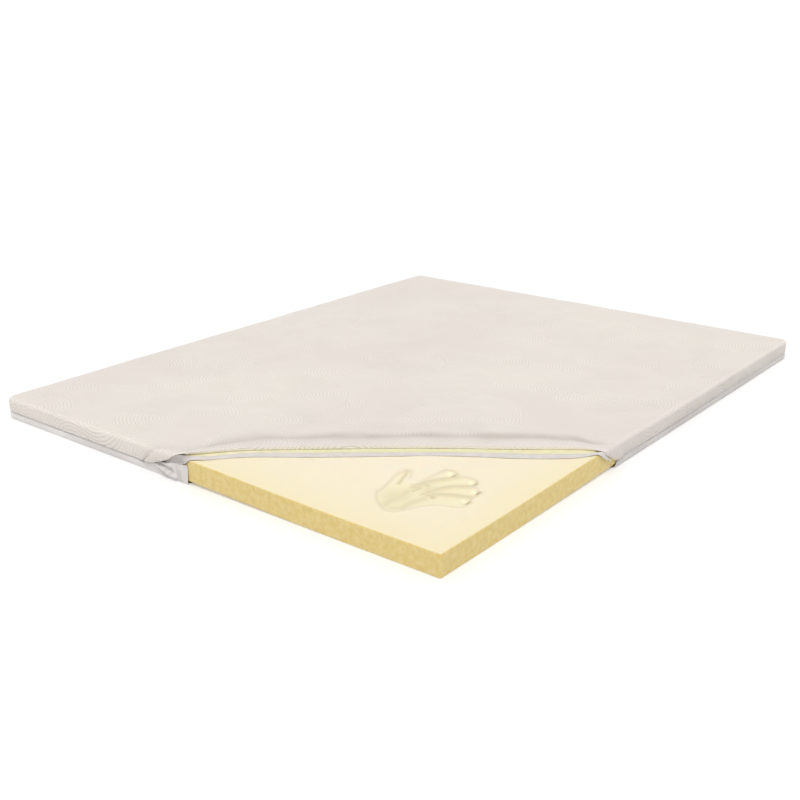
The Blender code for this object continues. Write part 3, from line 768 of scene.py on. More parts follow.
@dataclass(frozen=True)
class WovenTape:
    """Woven zip tape: a fine herringbone."""

    pale: Colour = (0.780, 0.728, 0.692)
    dim: Colour = (0.660, 0.605, 0.578)
    tape_shade: Colour = (0.380, 0.345, 0.330)
    column: float = 0.0030
    thread: float = 0.0009

    def make(self) -> bpy.types.Material:
        """The material."""
        sheet = Sheet("woven_tape")
        place = sheet.node("ShaderNodeSeparateXYZ", {}, {"Vector": sheet.flat()})
        run, across = Number(sheet, place.outputs["X"]), Number(sheet, place.outputs["Y"])
        zigzag = abs((across / self.column).fraction() - 0.5) * (2.0 * self.column)
        thread = abs(((run + zigzag) * (math.pi / self.thread)).sine())
        lint = sheet.noise(sheet.flat(), 1200.0, 1.0)
        height = thread * 0.00012 + lint * 0.00005
        patches = sheet.noise(sheet.flat(), 30.0, 2.0).step(0.3, 0.7)
        colour = sheet.tint(thread * 0.35 + patches * 0.5 + 0.15, self.dim, self.pale)
        # painted shade at the open tape's left end, where it lies between the cover and the lower border
        colour = sheet.tint(sheet.number("shade") * 0.8, colour, self.tape_shade)
        rough = 0.72 - thread * 0.12
        return sheet.finish(colour, rough, height, Sheen_Weight=0.1, Specular_IOR_Level=0.35)


@dataclass(frozen=True)
class TeethPlastic:
    """Satin plastic of the zip's teeth."""

    pale: Colour = (0.820, 0.810, 0.805)
    dim: Colour = (0.700, 0.690, 0.690)

    def make(self) -> bpy.types.Material:
        """The material."""
        sheet = Sheet("zip_teeth")
        worn = sheet.noise(sheet.space(), 350.0, 2.0)
        return sheet.finish(sheet.tint(worn, self.dim, self.pale), worn * 0.2 + 0.28, worn * 0.00004)


@dataclass(frozen=True)
class SewingThread:
    """Twisted white thread."""

    pale: Colour = (0.860, 0.830, 0.795)
    dim: Colour = (0.680, 0.640, 0.600)

    def make(self) -> bpy.types.Material:
        """The material."""
        sheet = Sheet("sewing_thread")
        strand = sheet.noise(sheet.space(), 1500.0, 1.0)
        return sheet.finish(sheet.tint(strand, self.dim, self.pale), 0.7 - strand * 0.2, strand * 0.0001)


@dataclass(frozen=True)
class OpenCellFoam:
    """Soft foam: cream on its upper face, with painted shade making its cut sides darker and deeper yellow, and fine
    open pores.
    """

    face: Colour = (0.880, 0.795, 0.612)
    rim: Colour = (0.870, 0.760, 0.480)
    slit: Colour = (0.755, 0.715, 0.440)
    side: Colour = (0.722, 0.548, 0.204)
    side_pale: Colour = (0.790, 0.645, 0.305)
    hollow_shade: Colour = (0.870, 0.790, 0.530)
    painted_shade: Colour = (0.310, 0.215, 0.060)
    painted_highlight: Colour = (0.960, 0.940, 0.660)

    def make(self) -> bpy.types.Material:
        """The material."""
        sheet = Sheet("open_cell_foam")
        at = sheet.space()
        pore = sheet.scatter(at, 620.0, 1.0, "3D").step(0.42, 0.12)
        grain = sheet.noise(at, 240.0, 3.0, 0.6)
        uneven = sheet.noise(at, 9.0, 2.0)
        mottle = sheet.noise(at, 70.0, 4.0, 0.65)
        side = sheet.number("side")
        height = grain * 0.00016 - pore * 0.00006 + uneven * 0.0004 + side * mottle * 0.0012
        face = sheet.tint(sheet.number("rim") * 0.8 + (uneven - 0.5) * 0.3, self.face, self.rim)
        # painted shade on the foam between the open tape and the roll, weaker right next to the roll
        face = sheet.tint(sheet.number("slit"), face, self.slit)
        # painted shade: the cut sides darker and deeper yellow than the upper face, with a mottle
        cut = sheet.tint(mottle.step(0.30, 0.70), self.side, self.side_pale)
        colour = sheet.tint(side, face, cut)
        # painted shade inside the hand's impression, where the foam is pressed down
        colour = sheet.tint(sheet.number("pressed") * 0.85, colour, self.hollow_shade)
        # painted shade where this is positive and painted highlight where it is negative: the shading of the hand's
        # impression, and shade on the foam beside the cover's hem at the left crossing
        mark = sheet.number("mark")
        colour = sheet.tint(sheet.maths("MAXIMUM", mark, 0.0) * 0.8, colour, self.painted_shade)
        colour = sheet.tint(mark.step(0.0, -1.0) * 0.8, colour, self.painted_highlight)
        darker = tuple(c * 0.72 for c in self.side)
        colour = sheet.tint(pore * 0.07, colour, darker)
        rough = grain * 0.1 + 0.86
        return sheet.finish(colour, rough, height, Subsurface_Weight=0.35, Subsurface_Scale=0.004,
                            Subsurface_Radius=(1.0, 0.75, 0.30), Sheen_Weight=0.1, Specular_IOR_Level=0.2)


class Finish(Enum):
    """The object's finishes."""

    QUILTED = QuiltedKnit()
    PLAIN = PlainKnit()
    TAPE = WovenTape()
    TEETH = TeethPlastic()
    THREAD = SewingThread()
    FOAM = OpenCellFoam()


class Wardrobe:
    """Makes each finish's material once."""

    def __init__(self) -> None:
        """Starts empty."""
        self.made: dict[Finish, bpy.types.Material] = {}

    def __getitem__(self, finish: Finish) -> bpy.types.Material:
        """The finish's material."""
        if finish not in self.made:
            self.made[finish] = finish.value.make()
        return self.made[finish]


# ------------------------------------------------------------------ the foam
@dataclass(frozen=True)
class Hand:
    """The impression of a spread right hand: its rim, the webs between the fingers and the deeper spots."""

    depth: float = 0.0042
    wall: float = 0.0090
    bowl: float = 0.030
    # beside the thumb the rim and its painted shade fade out: place and width; the painted shade along the
    # fingertips' rims is stronger this far around
    notch: tuple[float, float, float] = (-0.747, -0.520, 0.024)
    tip_reach: float = 0.024
    # pits deeper than this are fingertips
    tip_depth: float = 0.0025
    rim: Places = (
        (-0.848, -0.494), (-0.869, -0.513), (-0.888, -0.535), (-0.903, -0.559), (-0.906, -0.577), (-0.898, -0.591),
        (-0.883, -0.602), (-0.863, -0.610), (-0.838, -0.620), (-0.819, -0.634), (-0.805, -0.653), (-0.797, -0.675),
        (-0.789, -0.692), (-0.779, -0.702), (-0.762, -0.703), (-0.746, -0.695), (-0.726, -0.690), (-0.715, -0.693),
        (-0.697, -0.690), (-0.685, -0.675), (-0.676, -0.660), (-0.660, -0.659), (-0.645, -0.648), (-0.638, -0.632),
        (-0.643, -0.612), (-0.648, -0.597), (-0.640, -0.586), (-0.632, -0.570), (-0.630, -0.554), (-0.637, -0.544),
        (-0.657, -0.543), (-0.684, -0.541), (-0.710, -0.540), (-0.735, -0.537), (-0.749, -0.529), (-0.745, -0.515),
        (-0.722, -0.502), (-0.702, -0.491), (-0.694, -0.478), (-0.705, -0.467), (-0.729, -0.466), (-0.755, -0.472),
        (-0.787, -0.482), (-0.815, -0.489), (-0.834, -0.490),
    )
    webs: tuple[Places, ...] = (
        ((-0.762, -0.541), (-0.727, -0.547), (-0.708, -0.555), (-0.690, -0.566), (-0.672, -0.578), (-0.648, -0.594)),
        ((-0.756, -0.588), (-0.734, -0.594), (-0.718, -0.601), (-0.706, -0.610), (-0.693, -0.624), (-0.672, -0.655)),
        ((-0.776, -0.596), (-0.763, -0.605), (-0.752, -0.620), (-0.742, -0.636), (-0.732, -0.656), (-0.724, -0.684)),
    )
    lines: tuple[Places, ...] = (
        ((-0.768, -0.500), (-0.742, -0.490), (-0.712, -0.479)), ((-0.775, -0.551), (-0.751, -0.555)),
        ((-0.780, -0.578), (-0.762, -0.582), (-0.751, -0.581)), ((-0.777, -0.608), (-0.769, -0.595)),
    )
    shadows: tuple[Places, ...] = (
        ((-0.879, -0.547), (-0.852, -0.540), (-0.816, -0.543), (-0.784, -0.540)),
        ((-0.864, -0.587), (-0.829, -0.585), (-0.794, -0.595)),
    )
    # deeper spots: place, width, depth and how strong their painted shade is
    pits: tuple[tuple[float, float, float, float, float], ...] = (
        (-0.6500, -0.5710, 0.0105, 0.0028, 1.00), (-0.6590, -0.6415, 0.0105, 0.0030, 1.00),
        (-0.6970, -0.6770, 0.0105, 0.0030, 1.00), (-0.7530, -0.6870, 0.0105, 0.0028, 1.00),
        (-0.702, -0.4740, 0.0100, 0.0020, 0.36), (-0.731, -0.5600, 0.0100, 0.0014, 0.40),
        (-0.746, -0.5880, 0.0100, 0.0016, 0.40), (-0.774, -0.6090, 0.0100, 0.0016, 0.46),
        (-0.748, -0.5830, 0.0340, 0.0004, 0.24), (-0.822, -0.5400, 0.0380, 0.0010, 0.24),
        (-0.876, -0.5720, 0.0220, 0.0006, 0.20),
    )

    def near(self, flat: Array, lines: Sequence[Places], width: float) -> Array:
        """Closeness to the nearest of some lines, 1 on it and fading with the width."""
        return np.max([np.exp(-((self.to_line(flat, np.array(line)) / width) ** 2)) for line in lines], axis=0)

    def rounded(self) -> Array:
        """The rim with rounded corners."""
        line = np.array(self.rim)
        for _ in range(2):
            ahead = np.roll(line, -1, axis=0)
            line = np.stack([0.75 * line + 0.25 * ahead, 0.25 * line + 0.75 * ahead], axis=1).reshape(-1, 2)
        return line

    @staticmethod
    def to_line(flat: Array, line: Array) -> Array:
        """Distance from each point to a line of straight parts."""
        away = np.full(len(flat), np.inf)
        for start, end in zip(line[:-1], line[1:]):
            part = end - start
            share = np.clip((flat - start) @ part / (part @ part), 0.0, 1.0)
            away = np.minimum(away, np.linalg.norm(flat - start - share[:, None] * part, axis=1))
        return away

    def inside(self, flat: Array) -> Array:
        """Distance to the rim, positive inside."""
        rim = self.rounded()
        ahead = np.roll(rim, -1, axis=0)
        odd = np.zeros(len(flat), bool)
        for (ax, ay), (bx, by) in zip(rim, ahead):
            crosses = (ay > flat[:, 1]) != (by > flat[:, 1])
            at = ax + (flat[:, 1] - ay) * (bx - ax) / (by - ay if by != ay else 1e-12)
            odd ^= crosses & (flat[:, 0] < at)
        away = self.to_line(flat, np.vstack([rim, rim[:1]]))
        return np.where(odd, away, -away)

    def press(self, flat: Array) -> tuple[Array, Array]:
        """Depth of the impression, and its painted shade and highlights, shade where positive and highlight where
        negative, at each point.
        """
        depth, edge = np.zeros(len(flat)), np.zeros(len(flat))
        low, high = np.min(self.rim, axis=0) - 0.04, np.max(self.rim, axis=0) + 0.04
        near = np.all((flat > low) & (flat < high), axis=1)
        if not near.any():
            return depth, edge
        here = flat[near]
        inside = self.inside(here)
        notch = np.exp(-((np.hypot(here[:, 0] - self.notch[0], here[:, 1] - self.notch[1]) / self.notch[2]) ** 2))
        floor = 0.6 * smooth((inside + 0.0015) / (self.wall * (1.0 + 2.5 * notch))) + 0.4 * smooth(inside / self.bowl)
        web = self.near(here, self.webs, 0.0068)
        thin, broad = self.near(here, self.lines, 0.0048), self.near(here, self.shadows, 0.0150)
        sunk = self.depth * floor * (1.0 - 0.75 * web) + 0.0016 * np.maximum(thin, broad) * floor
        soft_web = self.near(here, self.webs, 0.0120)
        # painted shade along the webs, the lines and the broad shadows of the palm
        painted_shading = np.maximum(np.maximum(0.36 * soft_web, 0.40 * thin), 0.26 * broad) * smooth(inside / 0.006)
        at_tip = np.max([np.exp(-((np.hypot(here[:, 0] - x, here[:, 1] - y) / self.tip_reach) ** 2))
                         for x, y, _, extra, _ in self.pits if extra > self.tip_depth], axis=0)
        # painted shade along the rim, stronger near the fingertips
        rim_line = (0.22 + 0.14 * at_tip) * np.exp(-(((inside - 0.0005) / 0.0048) ** 2)) * (1.0 - notch)
        painted_shading = np.maximum(painted_shading, rim_line)
        for x, y, radius, extra, dark in self.pits:
            away = np.hypot(here[:, 0] - x, here[:, 1] - y) / radius
            sunk += extra * np.exp(-((away * 1.2) ** 2)) * smooth((inside + 0.002) / 0.006)
            tip = 1.0 if extra > self.tip_depth else 0.0
            # painted shadow in each fingertip's pit, and a painted highlight on its lit far wall
            shadow = np.hypot(here[:, 0] - x, here[:, 1] - y + 0.0072 * tip) / (radius * (1.0 - 0.20 * tip))
            highlight = tip * np.exp(-((np.hypot(here[:, 0] - x - 0.0040, here[:, 1] - y - 0.0065) / (0.7 * radius)) ** 2))
            painted_shading = np.where(painted_shading < 0.0, painted_shading, np.maximum(painted_shading, dark * np.exp(-(shadow**2)))) * (1.0 - highlight)
            painted_shading = painted_shading - 0.8 * highlight
        bulge = 0.0009 * np.exp(-(((inside + 0.007) / 0.006) ** 2)) * (1.0 - notch)
        depth[near] = sunk - bulge
        edge[near] = np.clip(painted_shading, -1.0, 1.0)
        return depth, edge


@dataclass
class FoamSlab:
    """The foam slab with the impression of a hand in its bared corner."""

    slab: Slab
    wardrobe: Wardrobe
    hand: Hand = Hand()

    def lines(self, half: float, fine: tuple[float, float], step: float) -> Array:
        """Grid lines across one direction, close together over the hand and at the edges."""
        soft = self.slab.plan_soft
        return graded((-half, 0.0013), (-half + 0.005, 0.0013), (-half + 0.012, 0.006), (fine[0] - 0.02, 0.007),
                      (fine[0], step), (fine[1], step), (fine[1] + 0.06, 0.012), (fine[1] + 0.5, 0.04),
                      (half - 0.05, 0.04), (half - soft, 0.006), (half, 0.003))

    def box(self, xs: Array, ys: Array, zs: Array) -> tuple[Array, Faces]:
        """The surface of a box with the given lines, as points and faces that face outwards."""
        number: dict[tuple[int, int, int], int] = {}
        points: list[tuple[float, float, float]] = []

        def point(i: int, j: int, k: int) -> int:
            """Number of the point where three lines meet, made when it is first asked for."""
            key = (i, j, k)
            if key not in number:
                number[key] = len(points)
                points.append((xs[i], ys[j], zs[k]))
            return number[key]

        faces = []
        nx, ny, nz = len(xs) - 1, len(ys) - 1, len(zs) - 1
        for i in range(nx):
            for j in range(ny):
                faces.append((point(i, j, nz), point(i + 1, j, nz), point(i + 1, j + 1, nz), point(i, j + 1, nz)))
                faces.append((point(i, j, 0), point(i, j + 1, 0), point(i + 1, j + 1, 0), point(i + 1, j, 0)))
        for k in range(nz):
            for i in range(nx):
                faces.append((point(i, 0, k), point(i + 1, 0, k), point(i + 1, 0, k + 1), point(i, 0, k + 1)))
                faces.append((point(i, ny, k), point(i, ny, k + 1), point(i + 1, ny, k + 1), point(i + 1, ny, k)))
            for j in range(ny):
                faces.append((point(0, j, k), point(0, j, k + 1), point(0, j + 1, k + 1), point(0, j + 1, k)))
                faces.append((point(nx, j, k), point(nx, j + 1, k), point(nx, j + 1, k + 1), point(nx, j, k + 1)))
        return np.array(points), faces

    def round(self, points: Array) -> Array:
        """Rounds the slab's edges: softly under the cover, crisply where it is bared."""
        slab, flat = self.slab, points[:, :2]
        bared = (flat[:, 0] < -0.9) & (flat[:, 1] < -0.7)
        corner = np.where(bared, slab.edge_crisp, slab.plan_soft)
        half = np.array([slab.length, slab.width]) / 2 - corner[:, None]
        inner = np.clip(flat, -half, half)
        dx, dy = to_disc(flat[:, 0] - inner[:, 0], flat[:, 1] - inner[:, 1])
        ring = np.hypot(dx, dy)
        way = np.stack([dx, dy], axis=1) / np.maximum(ring, 1e-12)[:, None]
        _, w = FOLD.place(flat)
        edge = slab.edge_crisp + (slab.edge_soft - slab.edge_crisp) * smooth((w + 0.035) / 0.023)
        side = np.clip(ring - corner + edge, 0.0, None)
        middle = slab.thick / 2
        rise = points[:, 2] - middle
        over = np.clip(np.abs(rise) - middle + edge, 0.0, None)
        reach = np.hypot(side, over)
        shrink = np.where(reach > 0.0, np.maximum(side, over) / np.maximum(reach, 1e-12), 1.0)
        ring = ring - side + side * shrink
        rise = np.sign(rise) * (np.abs(rise) - over + over * shrink)
        return np.column_stack([inner + way * ring[:, None], middle + rise])

    def build(self) -> None:
        """Builds and dresses the slab."""
        slab = self.slab
        xs = self.lines(slab.length / 2, (-0.92, -0.615), 0.0024)
        ys = self.lines(slab.width / 2, (-0.72, -0.455), 0.0024)
        zs = graded((0.0, 0.0012), (0.004, 0.0016), (0.012, 0.006), (slab.thick - 0.012, 0.006),
                    (slab.thick - 0.004, 0.0016), (slab.thick, 0.0012))
        flat, faces = self.box(xs, ys, zs)
        on_top = flat[:, 2] > slab.thick - 1e-6
        # the impression's depth, and its painted shade and highlights
        hand, mark = self.hand.press(flat[:, :2])
        hand, mark = hand * on_top, mark * on_top
        points = self.round(flat)
        uneven = Swell(0.11, 5).at(points[:, :2]) * 0.0004 * on_top
        edge_away = np.minimum(slab.length / 2 - np.abs(flat[:, 0]), slab.width / 2 - np.abs(flat[:, 1]))
        uneven *= smooth(edge_away / 0.03)
        t, w = FOLD.place(points[:, :2] - 0.036 * FOLD.inward)
        off = w - slab.crease_at
        crease = slab.dip(slab.crease_at + np.sign(off) * np.maximum(np.abs(off) - 0.007, 0.0), t) * on_top * 1.2
        points[:, 2] += slab.base + slab.lift(points[:, :2]) - hand - crease + uneven
        # the cut sides, which get painted shade and a coarser mottle
        side = 1.0 - smooth((flat[:, 2] - slab.thick + 0.010) / 0.010) * smooth(edge_away / 0.004)
        t, w = FOLD.place(flat[:, :2])
        # painted shade on the foam behind the open tape, up to the roll
        behind_tape = smooth((w - along(TAPE_RUN, t) - along(TAPE_RUN, t, column=2) + 0.003) / 0.003)
        rim = np.exp(-edge_away / 0.10)
        front = w - np.interp(t, *np.array(UpperCover.roll_front).T)
        behind_tape = behind_tape * (1.0 - 0.7 * smooth((front + 0.007) / 0.006))
        # painted shade on the foam beside the cover's hem at the left crossing
        corner_shade = (1.0 - smooth((t - 0.012) / 0.045)) * smooth((w + 0.012) / 0.010) * (t > -0.1)
        mark = mark + 0.75 * corner_shade
        # the pressed value gives painted shade inside the hand's impression
        piece = new_mesh("foam", points, faces, side=side, pressed=smooth(hand / 0.0055), mark=mark, rim=rim,
                         slit=behind_tape * on_top * (1.0 - side))
        dress(piece, self.wardrobe[Finish.FOAM], Slot.FOAM, "foam_core")


# ------------------------------------------------------------------ cloth that is turned in along the fold
@dataclass(frozen=True)
class Pattern:
    """A flat cloth pattern whose grid lines follow the fold and the hems.

    across: distances from the fold of the rows that follow it, the turned-in ones first.
    hem: the rows' distances from the front hem beyond the fold's end, as many as in across.
    """

    half: tuple[float, float]
    across: tuple[float, ...]
    hem: tuple[float, ...]
    back: tuple[float, ...]
    columns: tuple[float, ...]
    fill: int
    trim: tuple[float, float]

    def build(self) -> tuple[Array, Faces]:
        """The flat points and the faces."""
        x = np.array(self.columns)
        across, hem = np.array(self.across), np.array(self.hem)
        slanted = FOLD.line_y(x)[:, None] + across / FOLD.inward[1]
        near = np.maximum(slanted, -self.half[1] + hem)
        back = self.half[1] - np.array(self.back)[::-1]
        share = np.linspace(0.0, 1.0, self.fill + 2)[1:-1]
        middle = near[:, -1:] + (back[0] - near[:, -1:]) * share
        rows = np.hstack([near, middle, np.tile(back, (len(x), 1))])
        flat = np.column_stack([np.repeat(x, rows.shape[1]), rows.ravel()])
        turned = int(np.sum(across < -1e-9))
        shape = rows.shape
        middle_x = (x[:-1] + x[1:])[:, None] / 2 + np.zeros((1, shape[1] - 1))
        middle_y = (rows[:-1, :-1] + rows[1:, :-1] + rows[:-1, 1:] + rows[1:, 1:]) / 4
        tall = np.minimum(rows[:-1, 1:] - rows[:-1, :-1], rows[1:, 1:] - rows[1:, :-1])
        wide = np.maximum(rows[:-1, 1:] - rows[:-1, :-1], rows[1:, 1:] - rows[1:, :-1])
        lip = np.arange(shape[1] - 1)[None, :] < turned
        on_wall = (middle_x < -self.trim[0]) | (middle_y < -self.trim[1])
        keep = ~(lip & on_wall) & (wide > 1e-7) & ((tall > 1e-7) | ~lip)
        return flat, grid_faces(len(x), shape[1], keep)


@dataclass
class UpperCover:
    """The quilted cloth: top, border down to the zip, soft roll at the fold and the lip under it."""

    slab: Slab
    wardrobe: Wardrobe
    cloth: float = 0.0026
    clear: float = 0.0005
    cover_lift: float = 0.0032
    roll_width: float = 0.085
    roll_top: float = 0.0104
    roll_top_ends: float = 0.0076
    lip: float = 0.034
    stitch_in: float = 0.0042
    # how much painted shade darkens the border walls: all round, on the front wall, and more at the left end
    tint: float = 0.30
    wall_shade_front: float = 0.95
    wall_shade_left_end: float = 0.35
    roll_front: Places = (
        (-0.094, 0.028), (0.000, 0.004), (0.100, 0.017), (0.200, 0.036), (0.310, 0.041), (0.500, 0.0425),
        (0.700, 0.038), (0.850, 0.026), (0.980, 0.021), (1.040, 0.015), (1.095, 0.000), (1.171, 0.033),
    )
    roll_share: Places = (
        (-0.094, 0.30), (0.000, 0.42), (0.100, 0.84), (0.200, 1.18), (0.310, 1.25), (0.800, 1.27),
        (0.890, 1.24), (0.950, 1.20), (1.000, 1.04), (1.060, 0.80), (1.110, 0.62), (1.171, 0.34),
    )
    hem_rise: Places = ((0.080, 0.0150), (0.125, 0.0085), (0.190, 0.0))
    flare: Places = (
        (0.000, 0.0), (0.060, 0.0030), (0.100, 0.0052), (0.140, 0.0048), (0.170, 0.0046), (0.200, 0.0),
    )

    @property
    def level(self) -> float:
        """Ring at which the cloth starts to bend over the edge."""
        return self.slab.plan_soft - self.slab.edge_soft

    @property
    def hem_ring(self) -> float:
        """Ring at which the cloth ends."""
        bend = (self.slab.edge_soft + self.cover_lift) * math.pi / 2
        return self.level + bend + self.slab.top - self.slab.edge_soft - self.slab.hem_top

    def pattern(self) -> Pattern:
        """The flat pattern's grid."""
        ring = self.hem_ring
        half = self.slab.half + ring
        arc = (self.roll_top - self.clear) / 4 * math.pi
        turned = np.concatenate([np.linspace(-self.lip, -arc, 5)[:-1], np.linspace(-arc, 0.0, 6)[:-1]])
        across = graded((0.0, 0.0011), (arc, 0.0012), (0.016, 0.004), (0.050, 0.004), (0.064, 0.0022),
                        (0.098, 0.0022), (0.120, 0.006), (0.200, 0.011))
        count = len(across)
        border = graded((0.0, 0.0012), (0.008, 0.0012), (0.014, 0.0032), (ring, 0.0032))
        beyond = graded((ring, 0.0034), (ring + 0.10, 0.013))
        hem = np.concatenate([border, beyond[1:]])
        hem = np.interp(np.linspace(0.0, len(hem) - 1.0, count), np.arange(len(hem)), hem)
        back = graded((0.0, 0.0013), (0.007, 0.0013), (0.013, 0.0036), (ring, 0.0036))
        end = -self.slab.length / 2 + (self.slab.width / 2 + FOLD.left[1]) * FOLD.inward[1] / FOLD.inward[0]
        columns = np.concatenate([
            graded((-half[0], 0.0013), (-half[0] + 0.007, 0.0013), (-half[0] + 0.013, 0.0034),
                   (-self.slab.half[0] - self.level, 0.0024), (-self.slab.half[0], 0.0030))[:-1],
            graded((-self.slab.half[0], 0.0040), (-0.90, 0.010), (end - 0.10, 0.011), (end - 0.03, 0.0034),
                   (end + 0.12, 0.0036), (end + 0.22, 0.012), (self.slab.half[0] - 0.08, 0.0135),
                   (self.slab.half[0], 0.0040)),
            graded((self.slab.half[0], 0.0030), (self.slab.half[0] + self.level, 0.0024),
                   (half[0] - 0.013, 0.0034), (half[0] - 0.007, 0.0013),
                   (half[0], 0.0013))[1:],
        ])
        trim = self.slab.half + 0.3 * self.level
        return Pattern(tuple(half), (*turned, *across), (*[0.0] * len(turned), *hem), tuple(back),
                       tuple(columns), 88, tuple(trim))

    def roll(self, w: Array, top: Array, share: Array, slant: Array) -> tuple[Array, Array]:
        """Where cloth at a distance w from the roll's front lies.

        Args:
            w: Distance from the fold to the covered side.
            top: The roll's height above the slab.
            share: How much the roll narrows behind its front.
            slant: How much its front widens where it crosses a wall aslant.

        Returns:
            Distance inward, and rise above the slab.
        """
        radius = (top - self.clear) / 2
        bend = radius * math.pi / 2
        turn = np.clip(w / radius, -math.pi / 2, math.pi / 2)
        under = np.where(w < 0.0, 0.35, 1.0)
        inward = slant * radius * under * (1.0 - np.cos(turn)) + share * np.maximum(np.abs(w) - bend, 0.0)
        rise = self.clear + radius * (1.0 + np.sin(turn))
        back = smooth((w / self.roll_width - 0.38) / 0.58)
        return inward, rise - back * (top - self.cover_lift)

    def surface(self, flat: Array) -> Array:
        """Lays the cloth, from its flat pattern."""
        t, w = FOLD.place(flat)
        from_end = np.minimum(t, FOLD.length - t)
        share = along(self.roll_share, t)
        share = np.where(w < 0.0, share * (0.3 + 0.7 * smooth(from_end / 0.14)), share)
        on_wall = 1.0 - smooth((from_end + 0.02) / 0.08)
        top = self.roll_top + (self.roll_top_ends - self.roll_top) * on_wall
        near = 1.0 - smooth(w / FOLD.bow_reach)
        inward, rise = self.roll(w, top, share, 1.0 + 0.9 * on_wall)
        behind, _ = self.roll(np.full(len(w), self.roll_width), top, share, 1.0 + 0.9 * on_wall)
        fade = 1.0 - smooth((w - self.roll_width) / 0.24)
        spread = np.where(w > self.roll_width, (behind - self.roll_width) * fade, inward - w)
        ripple = Swell(0.14, 21).on_line(t) * 0.0022 + Swell(0.05, 22).on_line(t) * 0.0008
        ripple *= smooth(w / 0.03) * (1.0 - smooth((w - 0.10) / 0.06)) * smooth(from_end / 0.08)
        rise = rise - self.slab.dip(w, t)
        moved = self.slab.slide(flat, spread + along(self.roll_front, t) * near + ripple)
        outside = smooth((-self.slab.half[0] - self.level - moved[:, 0]) / 0.022)
        rise = rise + along(self.flare, moved[:, 1]) * outside
        points = self.slab.lay(moved, rise + self.relief(flat, moved, t, w), self.slab.edge_soft, self.cover_lift)
        drop = np.clip((self.slab.top - points[:, 2]) / (self.slab.top - self.slab.hem_top), 0.0, 1.1)
        pulled_up = along(self.hem_rise, moved[:, 1]) * (moved[:, 0] < -self.slab.half[0])
        points[:, 2] += pulled_up * drop**2
        return points

    def shade(self, flat: Array) -> Array:
        """How much painted shade lies on the cloth in the crease behind the roll, from 0 to 1."""
        t, w = FOLD.place(flat)
        off = w - self.slab.crease_at - Swell(0.12, 81).on_line(t) * 0.0022
        near_side = along(((0.0, 0.018), (0.20, 0.040), (0.80, 0.042), (0.95, 0.030), (1.08, 0.026)), t)
        spread = np.where(off > 0.0, 0.022, near_side) * (1.0 + 0.2 * Swell(0.15, 82).on_line(t))
        strength = along(((0.0, 0.25), (0.12, 0.45), (0.30, 0.75), (0.70, 0.85), (0.85, 1.0), (1.08, 1.0)), t)
        strength = strength * (1.0 + 0.18 * Swell(0.09, 83).on_line(t)) * smooth((FOLD.length + 0.065 - t) / 0.05)
        return np.clip(strength * np.exp(-((off / spread) ** 2)), 0.0, 1.0)

    def relief(self, flat: Array, moved: Array, t: Array, w: Array) -> Array:
        """Soft swells of the top, puckers of the border and the sewn hem, as a rise."""
        _, ring, _ = self.slab.split(flat)
        behind = smooth((w - self.roll_width) / 0.10)
        waves = np.sin(moved[:, 0] * 5.3 + 1.1) * np.sin(moved[:, 1] * 6.1 + 0.4)
        rise = 0.0010 * (0.5 + 0.5 * waves) * smooth((w - self.roll_width) / 0.15)
        on_top = 1.0 - smooth((ring - self.level * 0.3) / 0.02)
        rise += (Swell(0.30, 31).at(flat) * 0.0008 + Swell(0.11, 32).at(flat) * 0.00035) * behind * on_top
        to_hem = self.hem_ring - ring
        side_place = np.where(np.abs(flat[:, 0]) - self.slab.half[0] > np.abs(flat[:, 1]) - self.slab.half[1],
                              flat[:, 1], flat[:, 0] + 3.0)
        rise += 0.0012 * np.exp(-(((ring - self.level + 0.001) / 0.0055) ** 2)) * smooth((w - 0.05) / 0.08)
        wave = Swell(0.26, 43).on_line(side_place) * 0.0009 + Swell(0.08, 44).on_line(side_place) * 0.0004
        below_edge = smooth((ring - self.level + 0.004) / 0.012)
        rise += wave * below_edge * smooth(to_hem / 0.022) * smooth((w - 0.05) / 0.06)
        pucker = Swell(0.045, 41).on_line(side_place) * 0.00055 + Swell(0.16, 42).on_line(side_place) * 0.0005
        band = smooth(to_hem / 0.004) * (1.0 - smooth((to_hem - 0.018) / 0.020)) * smooth((w - 0.02) / 0.05)
        rise += pucker * band
        padding = 0.0007 * np.sin(np.clip((to_hem - self.stitch_in) / 0.024, 0.0, 1.0) * math.pi)
        valley = 0.0007 * np.exp(-(((to_hem - self.stitch_in) / 0.0011) ** 2))
        rolled_hem = 0.0003 * np.exp(-(((to_hem - 0.0018) / 0.0013) ** 2))
        side = smooth((ring - self.level) / 0.012) * smooth((w - 0.004) / 0.02)
        fold_lines = Swell(0.07, 51).on_line(t + 0.25 * w) * 0.0004
        on_roll = smooth(w / 0.012) * (1.0 - smooth((w - 0.055) / 0.03))
        return rise + (padding - valley + rolled_hem) * side + fold_lines * on_roll

    def seam(self, thread: bpy.types.Material) -> bpy.types.Object:
        """The row of stitches above the hem, from one end of the opened corner to the other."""
        flat = around_hem(self.slab.half + (self.hem_ring - self.stitch_in), inset=0.012)
        points, outward = on_surface(self.surface, flat, 0.0004)
        row = Row("upper_seam", 0.0043, (0.0034, 0.00085, 0.0007))
        return row.build(points, outward, Unit.STITCH.build(), thread)

    def build(self) -> None:
        """Builds and dresses the cloth and its seam."""
        pattern = self.pattern()
        flat, faces = pattern.build()
        points = self.surface(flat)
        place = np.column_stack([flat, np.zeros(len(flat))])
        _, w = FOLD.place(flat)
        _, ring, _ = self.slab.split(flat)
        # painted shade on the border walls: all round, stronger on the front wall and at the left end
        side = smooth((ring - self.level - 0.006) / 0.010)
        near_end = (1.0 - smooth((flat[:, 1] - 0.10) / 0.14)) * (flat[:, 0] < -self.slab.half[0] + 0.05)
        on_front = smooth((-self.slab.half[1] + 0.02 - flat[:, 1]) / 0.03)
        side *= self.tint + (self.wall_shade_front - self.tint) * on_front + self.wall_shade_left_end * near_end
